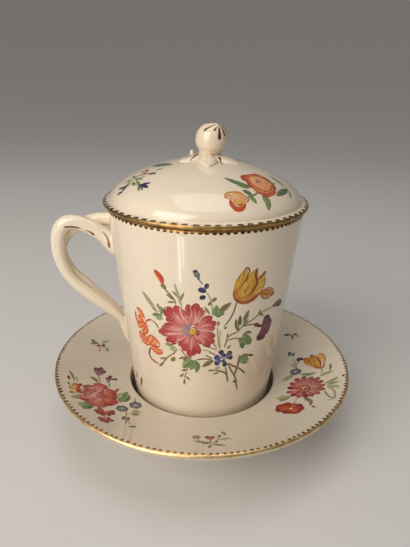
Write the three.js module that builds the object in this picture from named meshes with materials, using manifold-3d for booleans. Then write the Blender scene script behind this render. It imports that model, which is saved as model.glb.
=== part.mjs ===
// Covered chocolate cup with its trembleuse saucer: the cup stands in a deep well in the middle
// of the saucer, so that an unsteady hand can't spill it. Glazed hard-paste porcelain.
// Millimetres, +Z up. The origin is on the cup's axis at the level of the saucer's foot.

import * as THREE from 'three';
import { mergeVertices } from 'three/addons/utils/BufferGeometryUtils.js';
import Module from 'manifold-3d';

// Saucer: a curved dish round a deep sunk well, standing on the well's own foot ring
const SAUCER_DIAMETER = 140;
const SAUCER_HEIGHT = 31.3;
const SAUCER_WALL = 3.0;
const SAUCER_RIM_THICKNESS = 2.4;
const DISH_SLOPE_AT_WELL = 7; // degrees
const DISH_SLOPE_AT_RIM = 25; // degrees
const WELL_DEPTH = 16.0;
const WELL_CLEARANCE = 1.9; // round the cup, at the well's mouth
const WELL_TAPER = 1.2; // how much narrower the well is at its floor
const WELL_WALL = 3.2;
const WELL_FLOOR = 3.0;
const WELL_EDGE_ROUND = 1.2;
const WELL_CORNER_ROUND = 3.0;
const SAUCER_FOOT_HEIGHT = 2.0;
const SAUCER_FOOT_WIDTH = 2.6;

// Cup: a tall beaker, its wall straight and wider towards the mouth
const CUP_MOUTH_DIAMETER = 84.6;
const CUP_BASE_DIAMETER = 63.7; // the straight wall carried down to the foot's level
const CUP_HEIGHT = 101.7;
const CUP_WALL = 2.6;
const CUP_FLOOR = 3.2;
const CUP_CORNER_ROUND = 11;
const CUP_INSIDE_ROUND = 9;
const CUP_FOOT_DIAMETER = 55;
const CUP_FOOT_WIDTH = 2.8;
const CUP_FOOT_HEIGHT = 1.5;

// Handle: two pulled rolls of clay, laid together and crossing below the cup's mouth
const HANDLE_TOP_DROP = 6.8; // from the mouth down to the top of the loop
const HANDLE_HEIGHT = 64.6;
const HANDLE_REACH = 28.9; // from the cup's wall to the loop's outer edge
const STRAND_WIDTH = 6.2;
const STRAND_THICKNESS = 5.4;
const STRAND_SPREAD = 1.8; // how far each strand lies off the handle's middle plane

// Cover: a low dome with a narrow brim and a flange that drops inside the mouth
const COVER_OVERHANG = 1.4;
const BRIM_WIDTH = 3.0;
const BRIM_THICKNESS = 2.0;
const BRIM_FILLET = 0.7;
const DOME_HEIGHT = 16.5;
const DOME_FULLNESS = 1.64; // superellipse exponent: 2 is a true ellipse
const COVER_WALL = 2.6;
const FLANGE_DEPTH = 5.0;
const FLANGE_WALL = 2.2;
const FLANGE_CLEARANCE = 0.7;

// Knob: a bud that leans on a short stem, with modelled leaves laid round it on the dome
const BUD_DIAMETER = 13.5;
const BUD_TIP = 0.7; // the small point that stands out of the bud's ball
const BUD_SHOULDER = 36; // degrees above the ball's widest level, where it draws up to the point
const BUD_LEAN = 33; // degrees
const BUD_AZIMUTH = -49; // degrees, the side it leans to, from +X towards +Y
const BUD_OFFSET = 1.8; // how far the leaning bud hangs off the cover's axis
const STEM_OFFSET = 0.5;
const STEM_DIAMETER = 7.4;
const STEM_HEIGHT = 0.3; // dome to the bud's underside
const STEM_FOOT_SPREAD = 0.5;
const CALYX_DIAMETER = 10.6;
const CALYX_HEIGHT = 2.4; // the part of the stem that rises round the bud
const SHOOT_AZIMUTH = 146; // degrees, from +X towards +Y
const SHOOT_DIAMETER = 1.9;
const SHOOT_TIP_DIAMETER = 1.2;
const SHOOT_REACH = 7.6;
const SHOOT_HEIGHT = 2.8;
const LEAF_THICKNESS = 1.7;
const LEAF_TIP_THICKNESS = 0.4;
const LEAF_EDGE = 0.05;
const LEAF_CREASE = 0.45;
const LEAF_CREASE_WIDTH = 0.22; // as a share of half the leaf's width
const LEAF_HALF_WAVE = [0.16, 0.97]; // the stretch of a half wave that a leaf's outline follows
const LEAF_FULLNESS = 0.8; // below 1 the leaf's sides are rounder than the wave
const LEAVES = [
  { name: 'leaf_left', azimuth: 208, length: 9.2, width: 9.4 },
  { name: 'leaf_right', azimuth: -28, length: 10.6, width: 9.8 },
  { name: 'leaf_front', azimuth: -88, length: 11.0, width: 8.4 },
  { name: 'leaf_back', azimuth: 88, length: 8.6, width: 8.0 },
];
const LEAF_ON_TOP = 'leaf_front'; // the leaves beside it tuck in under its edges

// Pieces are set this far apart, as faces that meet in the fired piece
const SEAT_GAP = 0.3;

// Facets
const LATHE_SEGMENTS = 48;
const LIP_STEPS = 3; // in a quarter of a rounded lip
const CORNER_STEPS = 3;
const SWEEP_STEPS = 8; // along a dish, a dome or a cup's rounded foot
const STRAND_SIDES = 12;
const STRAND_STEPS = 30;
const KNOB_SEGMENTS = 16;
const SHOOT_SIDES = 6;
const LEAF_STEPS_ALONG = 7;
const LEAF_STEPS_ACROSS = 6;

const wasm = await Module();
wasm.setup();
const degrees = THREE.MathUtils.degToRad;
const lerp = THREE.MathUtils.lerp;

// Turns a mesh into a solid for joining and cutting
function toSolid(geometry) {
  const bare = geometry.clone();
  bare.deleteAttribute('normal');
  bare.deleteAttribute('uv');
  const merged = mergeVertices(bare, 1e-4);
  const corners = merged.index.array;
  const kept = [];
  for (let i = 0; i < corners.length; i += 3) {
    const [a, b, c] = [corners[i], corners[i + 1], corners[i + 2]];
    if (a !== b && b !== c && c !== a) kept.push(a, b, c);
  }
  return new wasm.Manifold(new wasm.Mesh({
    numProp: 3,
    vertProperties: merged.attributes.position.array,
    triVerts: new Uint32Array(kept),
  }));
}

// Turns a solid back into a mesh
function toGeometry(solid) {
  const mesh = solid.getMesh();
  const geometry = new THREE.BufferGeometry();
  geometry.setAttribute('position', new THREE.BufferAttribute(new Float32Array(mesh.vertProperties), 3));
  geometry.setIndex(new THREE.BufferAttribute(new Uint32Array(mesh.triVerts), 1));
  geometry.computeVertexNormals();
  return geometry;
}

// Revolves a profile of (radius, height) points round Z. The profile runs from the axis,
// out along the underside, up the outside and back to the axis.
function revolve(profile, segments = LATHE_SEGMENTS) {
  const geometry = new THREE.LatheGeometry(profile, segments);
  geometry.rotateX(Math.PI / 2);
  return toSolid(geometry);
}

// Round and curved stretches of a profile, as points
const at = (radius, z) => new THREE.Vector2(radius, z);
const arc = (radius, z, round, from, to, steps) => (
  new THREE.EllipseCurve(radius, z, round, round, from, to, to < from).getPoints(steps)
);
const corner = (start, knee, end) => (
  new THREE.QuadraticBezierCurve(start, knee, end).getPoints(CORNER_STEPS)
);

// A rounded lip, with points on its widest and its highest level, from one angle to the other
function lip(radius, z, round, from, to) {
  const turns = [from, 0, Math.PI / 2, to].sort((a, b) => a - b);
  return turns.slice(1).flatMap((turn, i) => {
    const steps = Math.max(1, Math.round(((turn - turns[i]) / (Math.PI / 2)) * LIP_STEPS));
    return arc(radius, z, round, turns[i], turn, steps).slice(i === 0 ? 0 : 1);
  });
}

// Skins a row of closed rings, each with the same number of points, and closes both ends
function loft(rings) {
  const count = rings[0].length;
  const points = rings.flat();
  const indices = [];
  for (let ring = 0; ring < rings.length - 1; ring += 1) {
    for (let i = 0; i < count; i += 1) {
      const a = ring * count + i;
      const b = ring * count + ((i + 1) % count);
      indices.push(a, b, a + count, b, b + count, a + count);
    }
  }
  const last = (rings.length - 1) * count;
  for (let i = 1; i < count - 1; i += 1) {
    indices.push(0, i + 1, i);
    indices.push(last, last + i, last + i + 1);
  }
  const geometry = new THREE.BufferGeometry().setFromPoints(points);
  geometry.setIndex(indices);
  return toSolid(geometry);
}

// Levels and radii that the pieces share
const wellFloorZ = SAUCER_FOOT_HEIGHT + WELL_FLOOR;
const wellMouthZ = wellFloorZ + WELL_DEPTH;
const cupFootZ = wellFloorZ + SEAT_GAP;
const cupMouthZ = cupFootZ + CUP_HEIGHT;
const wallFlare = (CUP_MOUTH_DIAMETER - CUP_BASE_DIAMETER) / 2 / CUP_HEIGHT;
const wallSlant = Math.atan(wallFlare);
const cupRadiusAt = (z) => CUP_BASE_DIAMETER / 2 + wallFlare * (z - cupFootZ);
const brimZ = cupMouthZ + SEAT_GAP;
const brimRadius = CUP_MOUTH_DIAMETER / 2 + COVER_OVERHANG;
const domeRadius = brimRadius - BRIM_WIDTH;
const domeZ = brimZ + BRIM_THICKNESS + BRIM_FILLET;
const domeTopZ = domeZ + DOME_HEIGHT;

// Height of the dome's outside above a point at this distance from the axis
function domeHeightAt(radius) {
  const share = Math.min(radius / domeRadius, 1);
  return domeZ + DOME_HEIGHT * (1 - share ** DOME_FULLNESS) ** (1 / DOME_FULLNESS);
}

// Saucer

function saucer() {
  const mouth = cupRadiusAt(wellMouthZ) + WELL_CLEARANCE;
  const floor = mouth - WELL_TAPER;
  const footOut = floor + WELL_WALL;
  const footIn = footOut - SAUCER_FOOT_WIDTH;
  const lipRound = SAUCER_RIM_THICKNESS / 2;
  const lipRadius = SAUCER_DIAMETER / 2 - lipRound;
  const lipZ = SAUCER_HEIGHT - lipRound;
  const lipTurn = degrees(DISH_SLOPE_AT_RIM);
  const lowSlope = Math.tan(degrees(DISH_SLOPE_AT_WELL));
  const highSlope = Math.tan(lipTurn);

  // A face of the dish, from the well out to the rim, rising ever more steeply
  const dish = (low, high) => {
    const run = (high.x - low.x) / 3;
    const nearWell = at(low.x + run, low.y + run * lowSlope);
    const nearRim = at(high.x - run, high.y - run * highSlope);
    return new THREE.CubicBezierCurve(low, nearWell, nearRim, high).getPoints(SWEEP_STEPS);
  };
  const rim = lip(lipRadius, lipZ, lipRound, lipTurn - Math.PI / 2, lipTurn + Math.PI / 2);
  const underZ = wellMouthZ - SAUCER_WALL;
  const wallOut = mouth + WELL_WALL;
  const dishFoot = at(wallOut + WELL_CORNER_ROUND, underZ + WELL_CORNER_ROUND * lowSlope);
  const dishTop = at(mouth + WELL_EDGE_ROUND, wellMouthZ);
  return revolve([
    at(0, SAUCER_FOOT_HEIGHT),
    at(footIn - SAUCER_FOOT_HEIGHT / 2, SAUCER_FOOT_HEIGHT),
    at(footIn, 0),
    at(footOut, 0),
    ...corner(at(wallOut, underZ - WELL_CORNER_ROUND), at(wallOut, underZ), dishFoot),
    ...dish(dishFoot, rim[0]),
    ...rim,
    ...dish(dishTop, rim[rim.length - 1]).reverse(),
    ...corner(dishTop, at(mouth, wellMouthZ), at(mouth, wellMouthZ - WELL_EDGE_ROUND)),
    ...corner(
      at(floor, wellFloorZ + WELL_CORNER_ROUND),
      at(floor, wellFloorZ),
      at(floor - WELL_CORNER_ROUND, wellFloorZ),
    ),
    at(0, wellFloorZ),
  ]);
}

// Cup

function cupBody() {
  const footOut = CUP_FOOT_DIAMETER / 2;
  const footIn = footOut - CUP_FOOT_WIDTH;
  const underZ = cupFootZ + CUP_FOOT_HEIGHT;
  const wallAcross = CUP_WALL / Math.cos(wallSlant);

  // A round corner that meets the slanted wall and the level floor
  const foot = (inset, round, levelZ) => ({
    radius: cupRadiusAt(levelZ + round) - inset - round / Math.cos(wallSlant),
    z: levelZ + round,
    round,
  });
  const outer = foot(0, CUP_CORNER_ROUND, underZ);
  const inner = foot(wallAcross, CUP_INSIDE_ROUND, underZ + CUP_FLOOR);
  const footTurn = -Math.acos((footOut - outer.radius) / outer.round);
  const lipRound = CUP_WALL / 2;
  const lipZ = cupMouthZ - lipRound;
  return revolve([
    at(0, underZ),
    at(footIn - CUP_FOOT_HEIGHT / 2, underZ),
    at(footIn, cupFootZ),
    at(footOut, cupFootZ),
    ...arc(outer.radius, outer.z, outer.round, footTurn, -wallSlant, CORNER_STEPS * 2),
    ...lip(cupRadiusAt(lipZ) - lipRound, lipZ, lipRound, -wallSlant, Math.PI - wallSlant),
    ...arc(inner.radius, inner.z, inner.round, -wallSlant, -Math.PI / 2, CORNER_STEPS * 2),
    at(0, underZ + CUP_FLOOR),
  ]);
}

// The space that the cup's wall fills, grown by the gap, to cut what is laid against it
function cupSpace() {
  const low = cupFootZ;
  const high = brimZ;
  return revolve([
    at(0, low),
    at(cupRadiusAt(low) + SEAT_GAP, low),
    at(cupRadiusAt(high) + SEAT_GAP, high),
    at(0, high),
  ]);
}

// Handle. A station says where a strand's middle lies: out from the cup's wall as a share of the
// reach, up from the handle's point as a share of its height, across the middle plane as a share
// of the spread, and how full the strand is there.

const FRONT_STRAND = [
  { out: 0.02, up: 0.02, across: -0.3, full: 0.14 },
  { out: 0.045, up: 0.125, across: -0.4, full: 0.34 },
  { out: 0.08, up: 0.22, across: -0.5, full: 0.54 },
  { out: 0.21, up: 0.295, across: -0.7, full: 0.76 },
  { out: 0.52, up: 0.43, across: -0.9, full: 0.92 },
  { out: 0.73, up: 0.53, across: -1.0, full: 0.86 },
  { out: 0.83, up: 0.615, across: -1.0, full: 0.88 },
  { out: 0.87, up: 0.75, across: -1.0, full: 0.99 },
  { out: 0.79, up: 0.90, across: -1.0, full: 1.10 },
  { out: 0.67, up: 0.952, across: -1.0, full: 1.10 },
  { out: 0.52, up: 0.959, across: -1.0, full: 1.07 },
  { out: 0.335, up: 0.931, across: -1.1, full: 1.07 },
  { out: 0.11, up: 0.868, across: -1.3, full: 1.20 },
  { out: 0.01, up: 0.822, across: -1.4, full: 1.42 },
  { out: -0.12, up: 0.77, across: -1.4, full: 1.50 },
];

const BACK_STRAND = [
  { out: 0.055, up: 0.08, across: 0.2, full: 0.24 },
  { out: 0.09, up: 0.205, across: 0.4, full: 0.47 },
  { out: 0.18, up: 0.30, across: 0.7, full: 0.68 },
  { out: 0.38, up: 0.393, across: 0.9, full: 0.82 },
  { out: 0.68, up: 0.533, across: 1.0, full: 0.84 },
  { out: 0.80, up: 0.604, across: 1.0, full: 0.85 },
  { out: 0.868, up: 0.70, across: 1.0, full: 0.87 },
  { out: 0.86, up: 0.775, across: 1.0, full: 0.89 },
  { out: 0.755, up: 0.845, across: 1.0, full: 0.90 },
  { out: 0.56, up: 0.914, across: 1.0, full: 0.92 },
  { out: 0.30, up: 0.960, across: 1.1, full: 0.94 },
  { out: 0.12, up: 0.967, across: 1.3, full: 0.98 },
  { out: -0.12, up: 0.967, across: 1.3, full: 1.02 },
];

// Sweeps an oval section along a strand's stations. The section's wide way lies in the
// handle's plane, square to the strand.
function sweepStrand(stations, grow) {
  const pointZ = cupMouthZ - HANDLE_TOP_DROP - HANDLE_HEIGHT;
  const middles = stations.map(({ out, up, across }) => {
    const z = pointZ + up * HANDLE_HEIGHT;
    return new THREE.Vector3(-cupRadiusAt(z) - out * HANDLE_REACH, across * STRAND_SPREAD, z);
  });
  const route = new THREE.CatmullRomCurve3(middles, false, 'centripetal');
  const rings = [];
  for (let step = 0; step <= STRAND_STEPS; step += 1) {
    const t = step / STRAND_STEPS;
    const middle = route.getPoint(t);
    const along = route.getTangent(t);
    const inPlane = new THREE.Vector3(-along.z, 0, along.x).normalize();
    const acrossPlane = new THREE.Vector3().crossVectors(along, inPlane).normalize();
    const place = t * (stations.length - 1);
    const before = Math.min(Math.floor(place), stations.length - 2);
    const full = lerp(stations[before].full, stations[before + 1].full, place - before);
    const ring = [];
    for (let side = 0; side < STRAND_SIDES; side += 1) {
      const turn = (side / STRAND_SIDES) * 2 * Math.PI;
      ring.push(middle.clone()
        .addScaledVector(inPlane, Math.cos(turn) * ((STRAND_WIDTH / 2) * full + grow))
        .addScaledVector(acrossPlane, Math.sin(turn) * ((STRAND_THICKNESS / 2) * full + grow)));
    }
    rings.push(ring);
  }
  return loft(rings);
}

function frontStrand() {
  return sweepStrand(FRONT_STRAND, 0).subtract(cupSpace());
}

function backStrand() {
  return sweepStrand(BACK_STRAND, 0).subtract(cupSpace()).subtract(sweepStrand(FRONT_STRAND, SEAT_GAP));
}

// Cover

// One face of the dome, from its edge up to the axis
function domeFace(radius, height, baseZ, steps) {
  const power = 2 / DOME_FULLNESS;
  return Array.from({ length: steps + 1 }, (_, i) => {
    const turn = (i / steps) * (Math.PI / 2);
    return at(i === steps ? 0 : radius * Math.cos(turn) ** power, baseZ + height * Math.sin(turn) ** power);
  });
}

function cover() {
  const lipRound = BRIM_THICKNESS / 2;
  const flangeOut = CUP_MOUTH_DIAMETER / 2 - CUP_WALL / Math.cos(wallSlant) - FLANGE_CLEARANCE;
  const flangeIn = flangeOut - FLANGE_WALL;
  const flangeZ = brimZ - FLANGE_DEPTH;
  const brimTop = brimZ + BRIM_THICKNESS;
  return revolve([
    ...domeFace(flangeIn, domeTopZ - COVER_WALL - brimZ, brimZ, SWEEP_STEPS).reverse(),
    at(flangeIn, flangeZ),
    at(flangeOut - FLANGE_WALL / 3, flangeZ),
    at(flangeOut, flangeZ + FLANGE_WALL / 3),
    at(flangeOut, brimZ),
    ...arc(brimRadius - lipRound, brimZ + lipRound, lipRound, -Math.PI / 2, Math.PI / 2, LIP_STEPS * 2),
    ...corner(at(domeRadius + BRIM_FILLET, brimTop), at(domeRadius, brimTop), at(domeRadius, domeZ)),
    ...domeFace(domeRadius, DOME_HEIGHT, domeZ, SWEEP_STEPS * 2),
  ]);
}

// The cover's outside, grown by the gap, to cut what is laid on the dome
function domeSpace() {
  return revolve([
    at(0, brimZ),
    at(domeRadius, brimZ),
    ...domeFace(domeRadius, DOME_HEIGHT, domeZ + SEAT_GAP, SWEEP_STEPS * 2),
  ]);
}

// Knob

const budMiddle = new THREE.Vector3(BUD_OFFSET, 0, domeTopZ + STEM_HEIGHT + BUD_DIAMETER / 2);

function bud(grow = 0) {
  const radius = BUD_DIAMETER / 2 + grow;
  const shoulder = degrees(BUD_SHOULDER);
  const ball = arc(0, 0, radius, -Math.PI / 2, shoulder, SWEEP_STEPS);
  ball[0].x = 0;
  const knee = radius * (Math.cos(shoulder) - (1 - Math.sin(shoulder)) * Math.tan(shoulder));
  const point = corner(ball[SWEEP_STEPS], at(knee, radius), at(0, radius + BUD_TIP));
  return revolve([...ball, ...point], KNOB_SEGMENTS)
    .rotate([0, BUD_LEAN, 0])
    .rotate([0, 0, BUD_AZIMUTH])
    .translate(budMiddle.toArray());
}

function ringAt(x, y, z, radius, sides) {
  return Array.from({ length: sides }, (_, i) => {
    const turn = (i / sides) * 2 * Math.PI;
    return new THREE.Vector3(x + radius * Math.cos(turn), y + radius * Math.sin(turn), z);
  });
}

// The stem swells into a calyx that holds the bud, and a pruned side shoot stands beside it
function stemShape(grow = 0) {
  const radius = STEM_DIAMETER / 2 + grow;
  const footZ = domeHeightAt(STEM_DIAMETER / 2 + STEM_OFFSET) - SEAT_GAP;
  const neckZ = domeTopZ + STEM_HEIGHT;
  const stations = [
    { z: footZ, bend: 0, radius: radius + STEM_FOOT_SPREAD },
    { z: neckZ, bend: 0, radius },
    { z: neckZ + CALYX_HEIGHT / 2, bend: 0.4, radius: lerp(radius, CALYX_DIAMETER / 2 + grow, 0.5) },
    { z: neckZ + CALYX_HEIGHT, bend: 0.8, radius: CALYX_DIAMETER / 2 + grow },
  ];
  const stalk = loft(stations.map((station) => {
    const middleX = lerp(STEM_OFFSET, BUD_OFFSET, station.bend);
    return ringAt(middleX, 0, station.z, station.radius, KNOB_SEGMENTS);
  }));

  const turn = degrees(SHOOT_AZIMUTH);
  const thick = SHOOT_DIAMETER / 2 + grow;
  const shootX = SHOOT_REACH * Math.cos(turn);
  const shootY = SHOOT_REACH * Math.sin(turn);
  const shootFootZ = domeHeightAt(SHOOT_REACH);
  const upright = loft([
    ringAt(shootX, shootY, shootFootZ - SHOOT_DIAMETER, thick, SHOOT_SIDES),
    ringAt(shootX, shootY, shootFootZ + SHOOT_HEIGHT + grow, SHOOT_TIP_DIAMETER / 2 + grow, SHOOT_SIDES),
  ]);
  const runner = loft([0, SHOOT_REACH].map((distance) => (
    ringAt(0, 0, 0, thick, SHOOT_SIDES).map((point) => new THREE.Vector3(
      distance * Math.cos(turn) - point.x * Math.sin(turn),
      distance * Math.sin(turn) + point.x * Math.cos(turn),
      domeHeightAt(distance) + SEAT_GAP + point.y,
    ))
  )));
  return stalk.add(upright).add(runner);
}

function stem() {
  return stemShape().subtract(domeSpace()).subtract(bud(SEAT_GAP));
}

// A leaf runs out from the stem and follows the dome. It is widest near its middle, crowned,
// and creased along its vein.
function leafShape({ azimuth, length, width }, grow = 0) {
  const turn = degrees(azimuth);
  const start = STEM_OFFSET * Math.cos(turn) + STEM_DIAMETER / 2;
  const rings = [];
  for (let i = 0; i <= LEAF_STEPS_ALONG; i += 1) {
    const share = i / LEAF_STEPS_ALONG;
    const radial = start + share * (length + grow);
    const wave = Math.sin(Math.PI * lerp(...LEAF_HALF_WAVE, share));
    const halfWidth = (width / 2) * wave ** LEAF_FULLNESS + grow;
    const thickness = lerp(LEAF_THICKNESS, LEAF_TIP_THICKNESS, share ** 3) + grow;
    const top = [];
    const bottom = [];
    for (let j = 0; j <= LEAF_STEPS_ACROSS; j += 1) {
      const side = 1 - (j / LEAF_STEPS_ACROSS) * 2;
      const x = radial * Math.cos(turn) - side * halfWidth * Math.sin(turn);
      const y = radial * Math.sin(turn) + side * halfWidth * Math.cos(turn);
      const ground = domeHeightAt(Math.hypot(x, y));
      const crown = Math.sqrt(Math.max(0, 1 - side ** 2)) * thickness;
      const crease = LEAF_CREASE * Math.exp(-((side / LEAF_CREASE_WIDTH) ** 2)) * (1 - share);
      const rise = Math.max(crown - crease, LEAF_EDGE) + grow;
      top.push(new THREE.Vector3(x, y, ground + SEAT_GAP + rise));
      bottom.unshift(new THREE.Vector3(x, y, ground - SEAT_GAP));
    }
    rings.push([...top, ...bottom]);
  }
  return loft(rings);
}

function leaf(entry) {
  const blade = leafShape(entry).subtract(domeSpace()).subtract(stemShape(SEAT_GAP)).subtract(bud(SEAT_GAP));
  if (entry.name === LEAF_ON_TOP) return blade;
  return blade.subtract(leafShape(LEAVES.find(({ name }) => name === LEAF_ON_TOP), SEAT_GAP));
}

// Assembly: saucer, cup with its handle, and cover with its knob

const group = new THREE.Group();

function place(name, solid, colour, roughness) {
  const material = new THREE.MeshStandardMaterial({ color: colour, roughness, metalness: 0 });
  const mesh = new THREE.Mesh(toGeometry(solid), material);
  mesh.name = name;
  group.add(mesh);
}

const PORCELAIN = 0xf0e9dc;
const PORCELAIN_ROUGHNESS = 0.12;

place('saucer', saucer(), PORCELAIN, PORCELAIN_ROUGHNESS);
place('cup_body', cupBody(), PORCELAIN, PORCELAIN_ROUGHNESS);
place('handle_front_strand', frontStrand(), PORCELAIN, PORCELAIN_ROUGHNESS);
place('handle_back_strand', backStrand(), PORCELAIN, PORCELAIN_ROUGHNESS);
place('cover', cover(), PORCELAIN, PORCELAIN_ROUGHNESS);
place('knob_stem', stem(), PORCELAIN, PORCELAIN_ROUGHNESS);
place('knob_bud', bud(), PORCELAIN, PORCELAIN_ROUGHNESS);
for (const entry of LEAVES) {
  place(entry.name, leaf(entry), PORCELAIN, PORCELAIN_ROUGHNESS);
}

export default group;
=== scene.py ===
# A covered trembleuse cup of hard-paste porcelain. A saucer with a sunk well holds a tall cup with an
# entwined handle, and a domed cover with a bud knob closes it. All are gilt and painted with flowers.

import math

import bpy
import numpy as np
from mathutils import Matrix, Vector
from mathutils.bvhtree import BVHTree


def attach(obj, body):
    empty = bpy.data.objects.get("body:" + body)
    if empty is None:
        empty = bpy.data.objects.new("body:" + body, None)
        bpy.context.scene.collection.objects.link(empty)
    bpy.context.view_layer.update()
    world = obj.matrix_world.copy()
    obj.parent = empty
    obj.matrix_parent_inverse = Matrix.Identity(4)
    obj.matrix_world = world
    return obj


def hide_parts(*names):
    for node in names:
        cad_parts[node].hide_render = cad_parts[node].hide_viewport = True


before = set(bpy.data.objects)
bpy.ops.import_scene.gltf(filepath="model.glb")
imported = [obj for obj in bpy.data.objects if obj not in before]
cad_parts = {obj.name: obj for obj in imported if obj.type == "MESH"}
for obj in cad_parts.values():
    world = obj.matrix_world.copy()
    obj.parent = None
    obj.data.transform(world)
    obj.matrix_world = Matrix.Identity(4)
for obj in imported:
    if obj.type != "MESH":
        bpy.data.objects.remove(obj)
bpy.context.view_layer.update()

# Saucer. It is thrown and turned in one piece: a curved dish round a deep sunk well, which stands on
# its own foot ring. The glaze is clear over a warm white body, with small clouds and a few kiln specks.
# Its colour is set a little greyer and darker than the cup's: that is painted shade.

SAUCER_RADIUS = 69.95
SAUCER_HEIGHT = 31.28
SAUCER_WALL = 3.0
SAUCER_LIP = 2.4
WELL_FLOOR_Z = 5.0
WELL_MOUTH_Z = 21.0
WELL_MOUTH_RADIUS = 35.36
WELL_FLOOR_RADIUS = 34.16
WELL_WALL = 3.2
WELL_EDGE_ROUND = 1.2
WELL_CORNER_ROUND = 3.0
SAUCER_FOOT_HEIGHT = 2.0
SAUCER_FOOT_WIDTH = 2.6
DISH_SLOPES = (7, 25)


def arc(radius, z, rounding, start, end, steps=14):
    """Points on a round stretch of a profile, from one angle in degrees to another."""
    turns = np.radians(np.linspace(start, end, steps + 1))
    return [(radius + rounding * math.cos(t), z + rounding * math.sin(t)) for t in turns]


def sweep(a, b, c, d, steps=36):
    """Points on a smooth stretch of a profile between a and d, drawn towards b and c."""
    t = np.linspace(0, 1, steps + 1)[:, None]
    a, b, c, d = (np.array(p, float) for p in (a, b, c, d))
    line = (1 - t) ** 3 * a + 3 * (1 - t) ** 2 * t * b + 3 * (1 - t) * t * t * c + t ** 3 * d
    return [tuple(p) for p in line]


def corner(start, knee, end, steps=12):
    """Points on a softened corner of a profile."""
    after = np.add(start, 2 / 3 * np.subtract(knee, start))
    before = np.add(end, 2 / 3 * np.subtract(knee, end))
    return sweep(start, after, before, end, steps)


def add_piece(name, points, faces, material, smooth_below=60):
    """Makes a mesh object from points in millimetres."""
    mesh = bpy.data.meshes.new(name)
    mesh.from_pydata((np.asarray(points) * 0.001).tolist(), [], faces)
    mesh.validate()
    mesh.shade_smooth()
    mesh.set_sharp_from_angle(angle=math.radians(smooth_below))
    mesh.materials.append(material)
    piece = bpy.data.objects.new(name, mesh)
    bpy.context.scene.collection.objects.link(piece)
    return piece


def throw(name, profile, material, sides=256):
    """Turns a profile of (radius, height) round the axis, as on the wheel. It starts and ends on the axis."""
    turns = np.arange(sides) * 2 * math.pi / sides
    points = [(0, 0, profile[0][1])]
    for radius, z in profile[1:-1]:
        points += [(radius * math.cos(t), radius * math.sin(t), z) for t in turns]
    points.append((0, 0, profile[-1][1]))
    rings = len(profile) - 2
    faces = []
    for i in range(sides):
        j = (i + 1) % sides
        faces.append((0, 1 + j, 1 + i))
        for ring in range(rings - 1):
            low, high = 1 + ring * sides, 1 + (ring + 1) * sides
            faces.append((low + i, low + j, high + j, high + i))
        last = 1 + (rings - 1) * sides
        faces.append((last + i, last + j, len(points) - 1))
    return add_piece(name, points, faces, material)


def skin(rings, count):
    """Faces between rings of points that follow each other in one list, with as many points in each."""
    faces = []
    for ring in range(rings - 1):
        low, high = ring * count, (ring + 1) * count
        for i in range(count):
            j = (i + 1) % count
            faces.append((low + i, low + j, high + j, high + i))
    return faces


def add_node(tree, kind, settings=(), **inputs):
    """Adds a shader node, sets its options and fills or links its inputs by name or number."""
    made = tree.nodes.new("ShaderNode" + kind)
    for key, value in dict(settings).items():
        setattr(made, key, value)
    for key, value in inputs.items():
        socket = made.inputs[int(key[1:]) if key[0] == "i" and key[1:].isdigit() else key.replace("_", " ")]
        if isinstance(value, bpy.types.NodeSocket):
            tree.links.new(value, socket)
        else:
            socket.default_value = value
    return made


def ranged(tree, value, low, high, least=0.0, most=1.0):
    """A value between low and high, stretched to lie between least and most."""
    made = add_node(tree, "MapRange", Value=value, From_Min=low, From_Max=high, To_Min=least, To_Max=most)
    return made.outputs["Result"]


def product(tree, first, second):
    """Two values multiplied."""
    return add_node(tree, "Math", {"operation": "MULTIPLY"}, i0=first, i1=second).outputs[0]


def mixed(tree, share, first, second, blend="MIX"):
    """A share of the second colour laid over the first."""
    settings = {"data_type": "RGBA", "blend_type": blend}
    return add_node(tree, "Mix", settings, i0=share, i6=first, i7=second).outputs[2]


def srgb(red, green, blue):
    """A colour as painters' charts give it, 0 to 255, turned to linear light."""
    values = [v / 255 for v in (red, green, blue)]
    return tuple(v / 12.92 if v < 0.04045 else ((v + 0.055) / 1.055) ** 2.4 for v in values)


def start_group(name, inputs, outputs):
    """Starts a shader node group with named sockets and returns its tree, input node and output node."""
    tree = bpy.data.node_groups.new(name, "ShaderNodeTree")
    for label, kind, value in inputs:
        socket = tree.interface.new_socket(label, in_out="INPUT", socket_type="NodeSocket" + kind)
        socket.default_value = value
    for label, kind in outputs:
        tree.interface.new_socket(label, in_out="OUTPUT", socket_type="NodeSocket" + kind)
    return tree, tree.nodes.new("NodeGroupInput"), tree.nodes.new("NodeGroupOutput")


# The kiln's marks on a glaze: soft clouds of tone, a fine stipple, dark specks and a gentle ripple
kiln_marks, given, result = start_group(
    "kiln_marks",
    [("Tone", "Color", (0.8, 0.8, 0.8, 1)), ("Cloud Tone", "Color", (0.7, 0.7, 0.7, 1)),
     ("Clouds", "Float", 0.5), ("Specks", "Float", 0.5)],
    [("Color", "Color"), ("Roughness", "Float"), ("Ripple", "Float")],
)
place = add_node(kiln_marks, "TexCoord").outputs["Object"]
clouds = add_node(kiln_marks, "TexNoise", Vector=place, Scale=34.0, Detail=3.0, Roughness=0.55)
cloud_mask = ranged(kiln_marks, clouds.outputs["Fac"], 0.42, 0.72)
cloud_share = product(kiln_marks, cloud_mask, given.outputs["Clouds"])
clouded = mixed(kiln_marks, cloud_share, given.outputs["Tone"], given.outputs["Cloud Tone"])
stipple = add_node(kiln_marks, "TexNoise", Vector=place, Scale=1400.0, Detail=2.0)
stipple_share = ranged(kiln_marks, stipple.outputs["Fac"], 0.3, 0.7, 0.0, 0.06)
stippled = mixed(kiln_marks, stipple_share, clouded, (0.55, 0.5, 0.44, 1), "MULTIPLY")
speck_cells = add_node(kiln_marks, "TexVoronoi", Vector=place, Scale=150.0)
speck_near = ranged(kiln_marks, speck_cells.outputs["Distance"], 0.02, 0.045, 1.0, 0.0)
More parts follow.
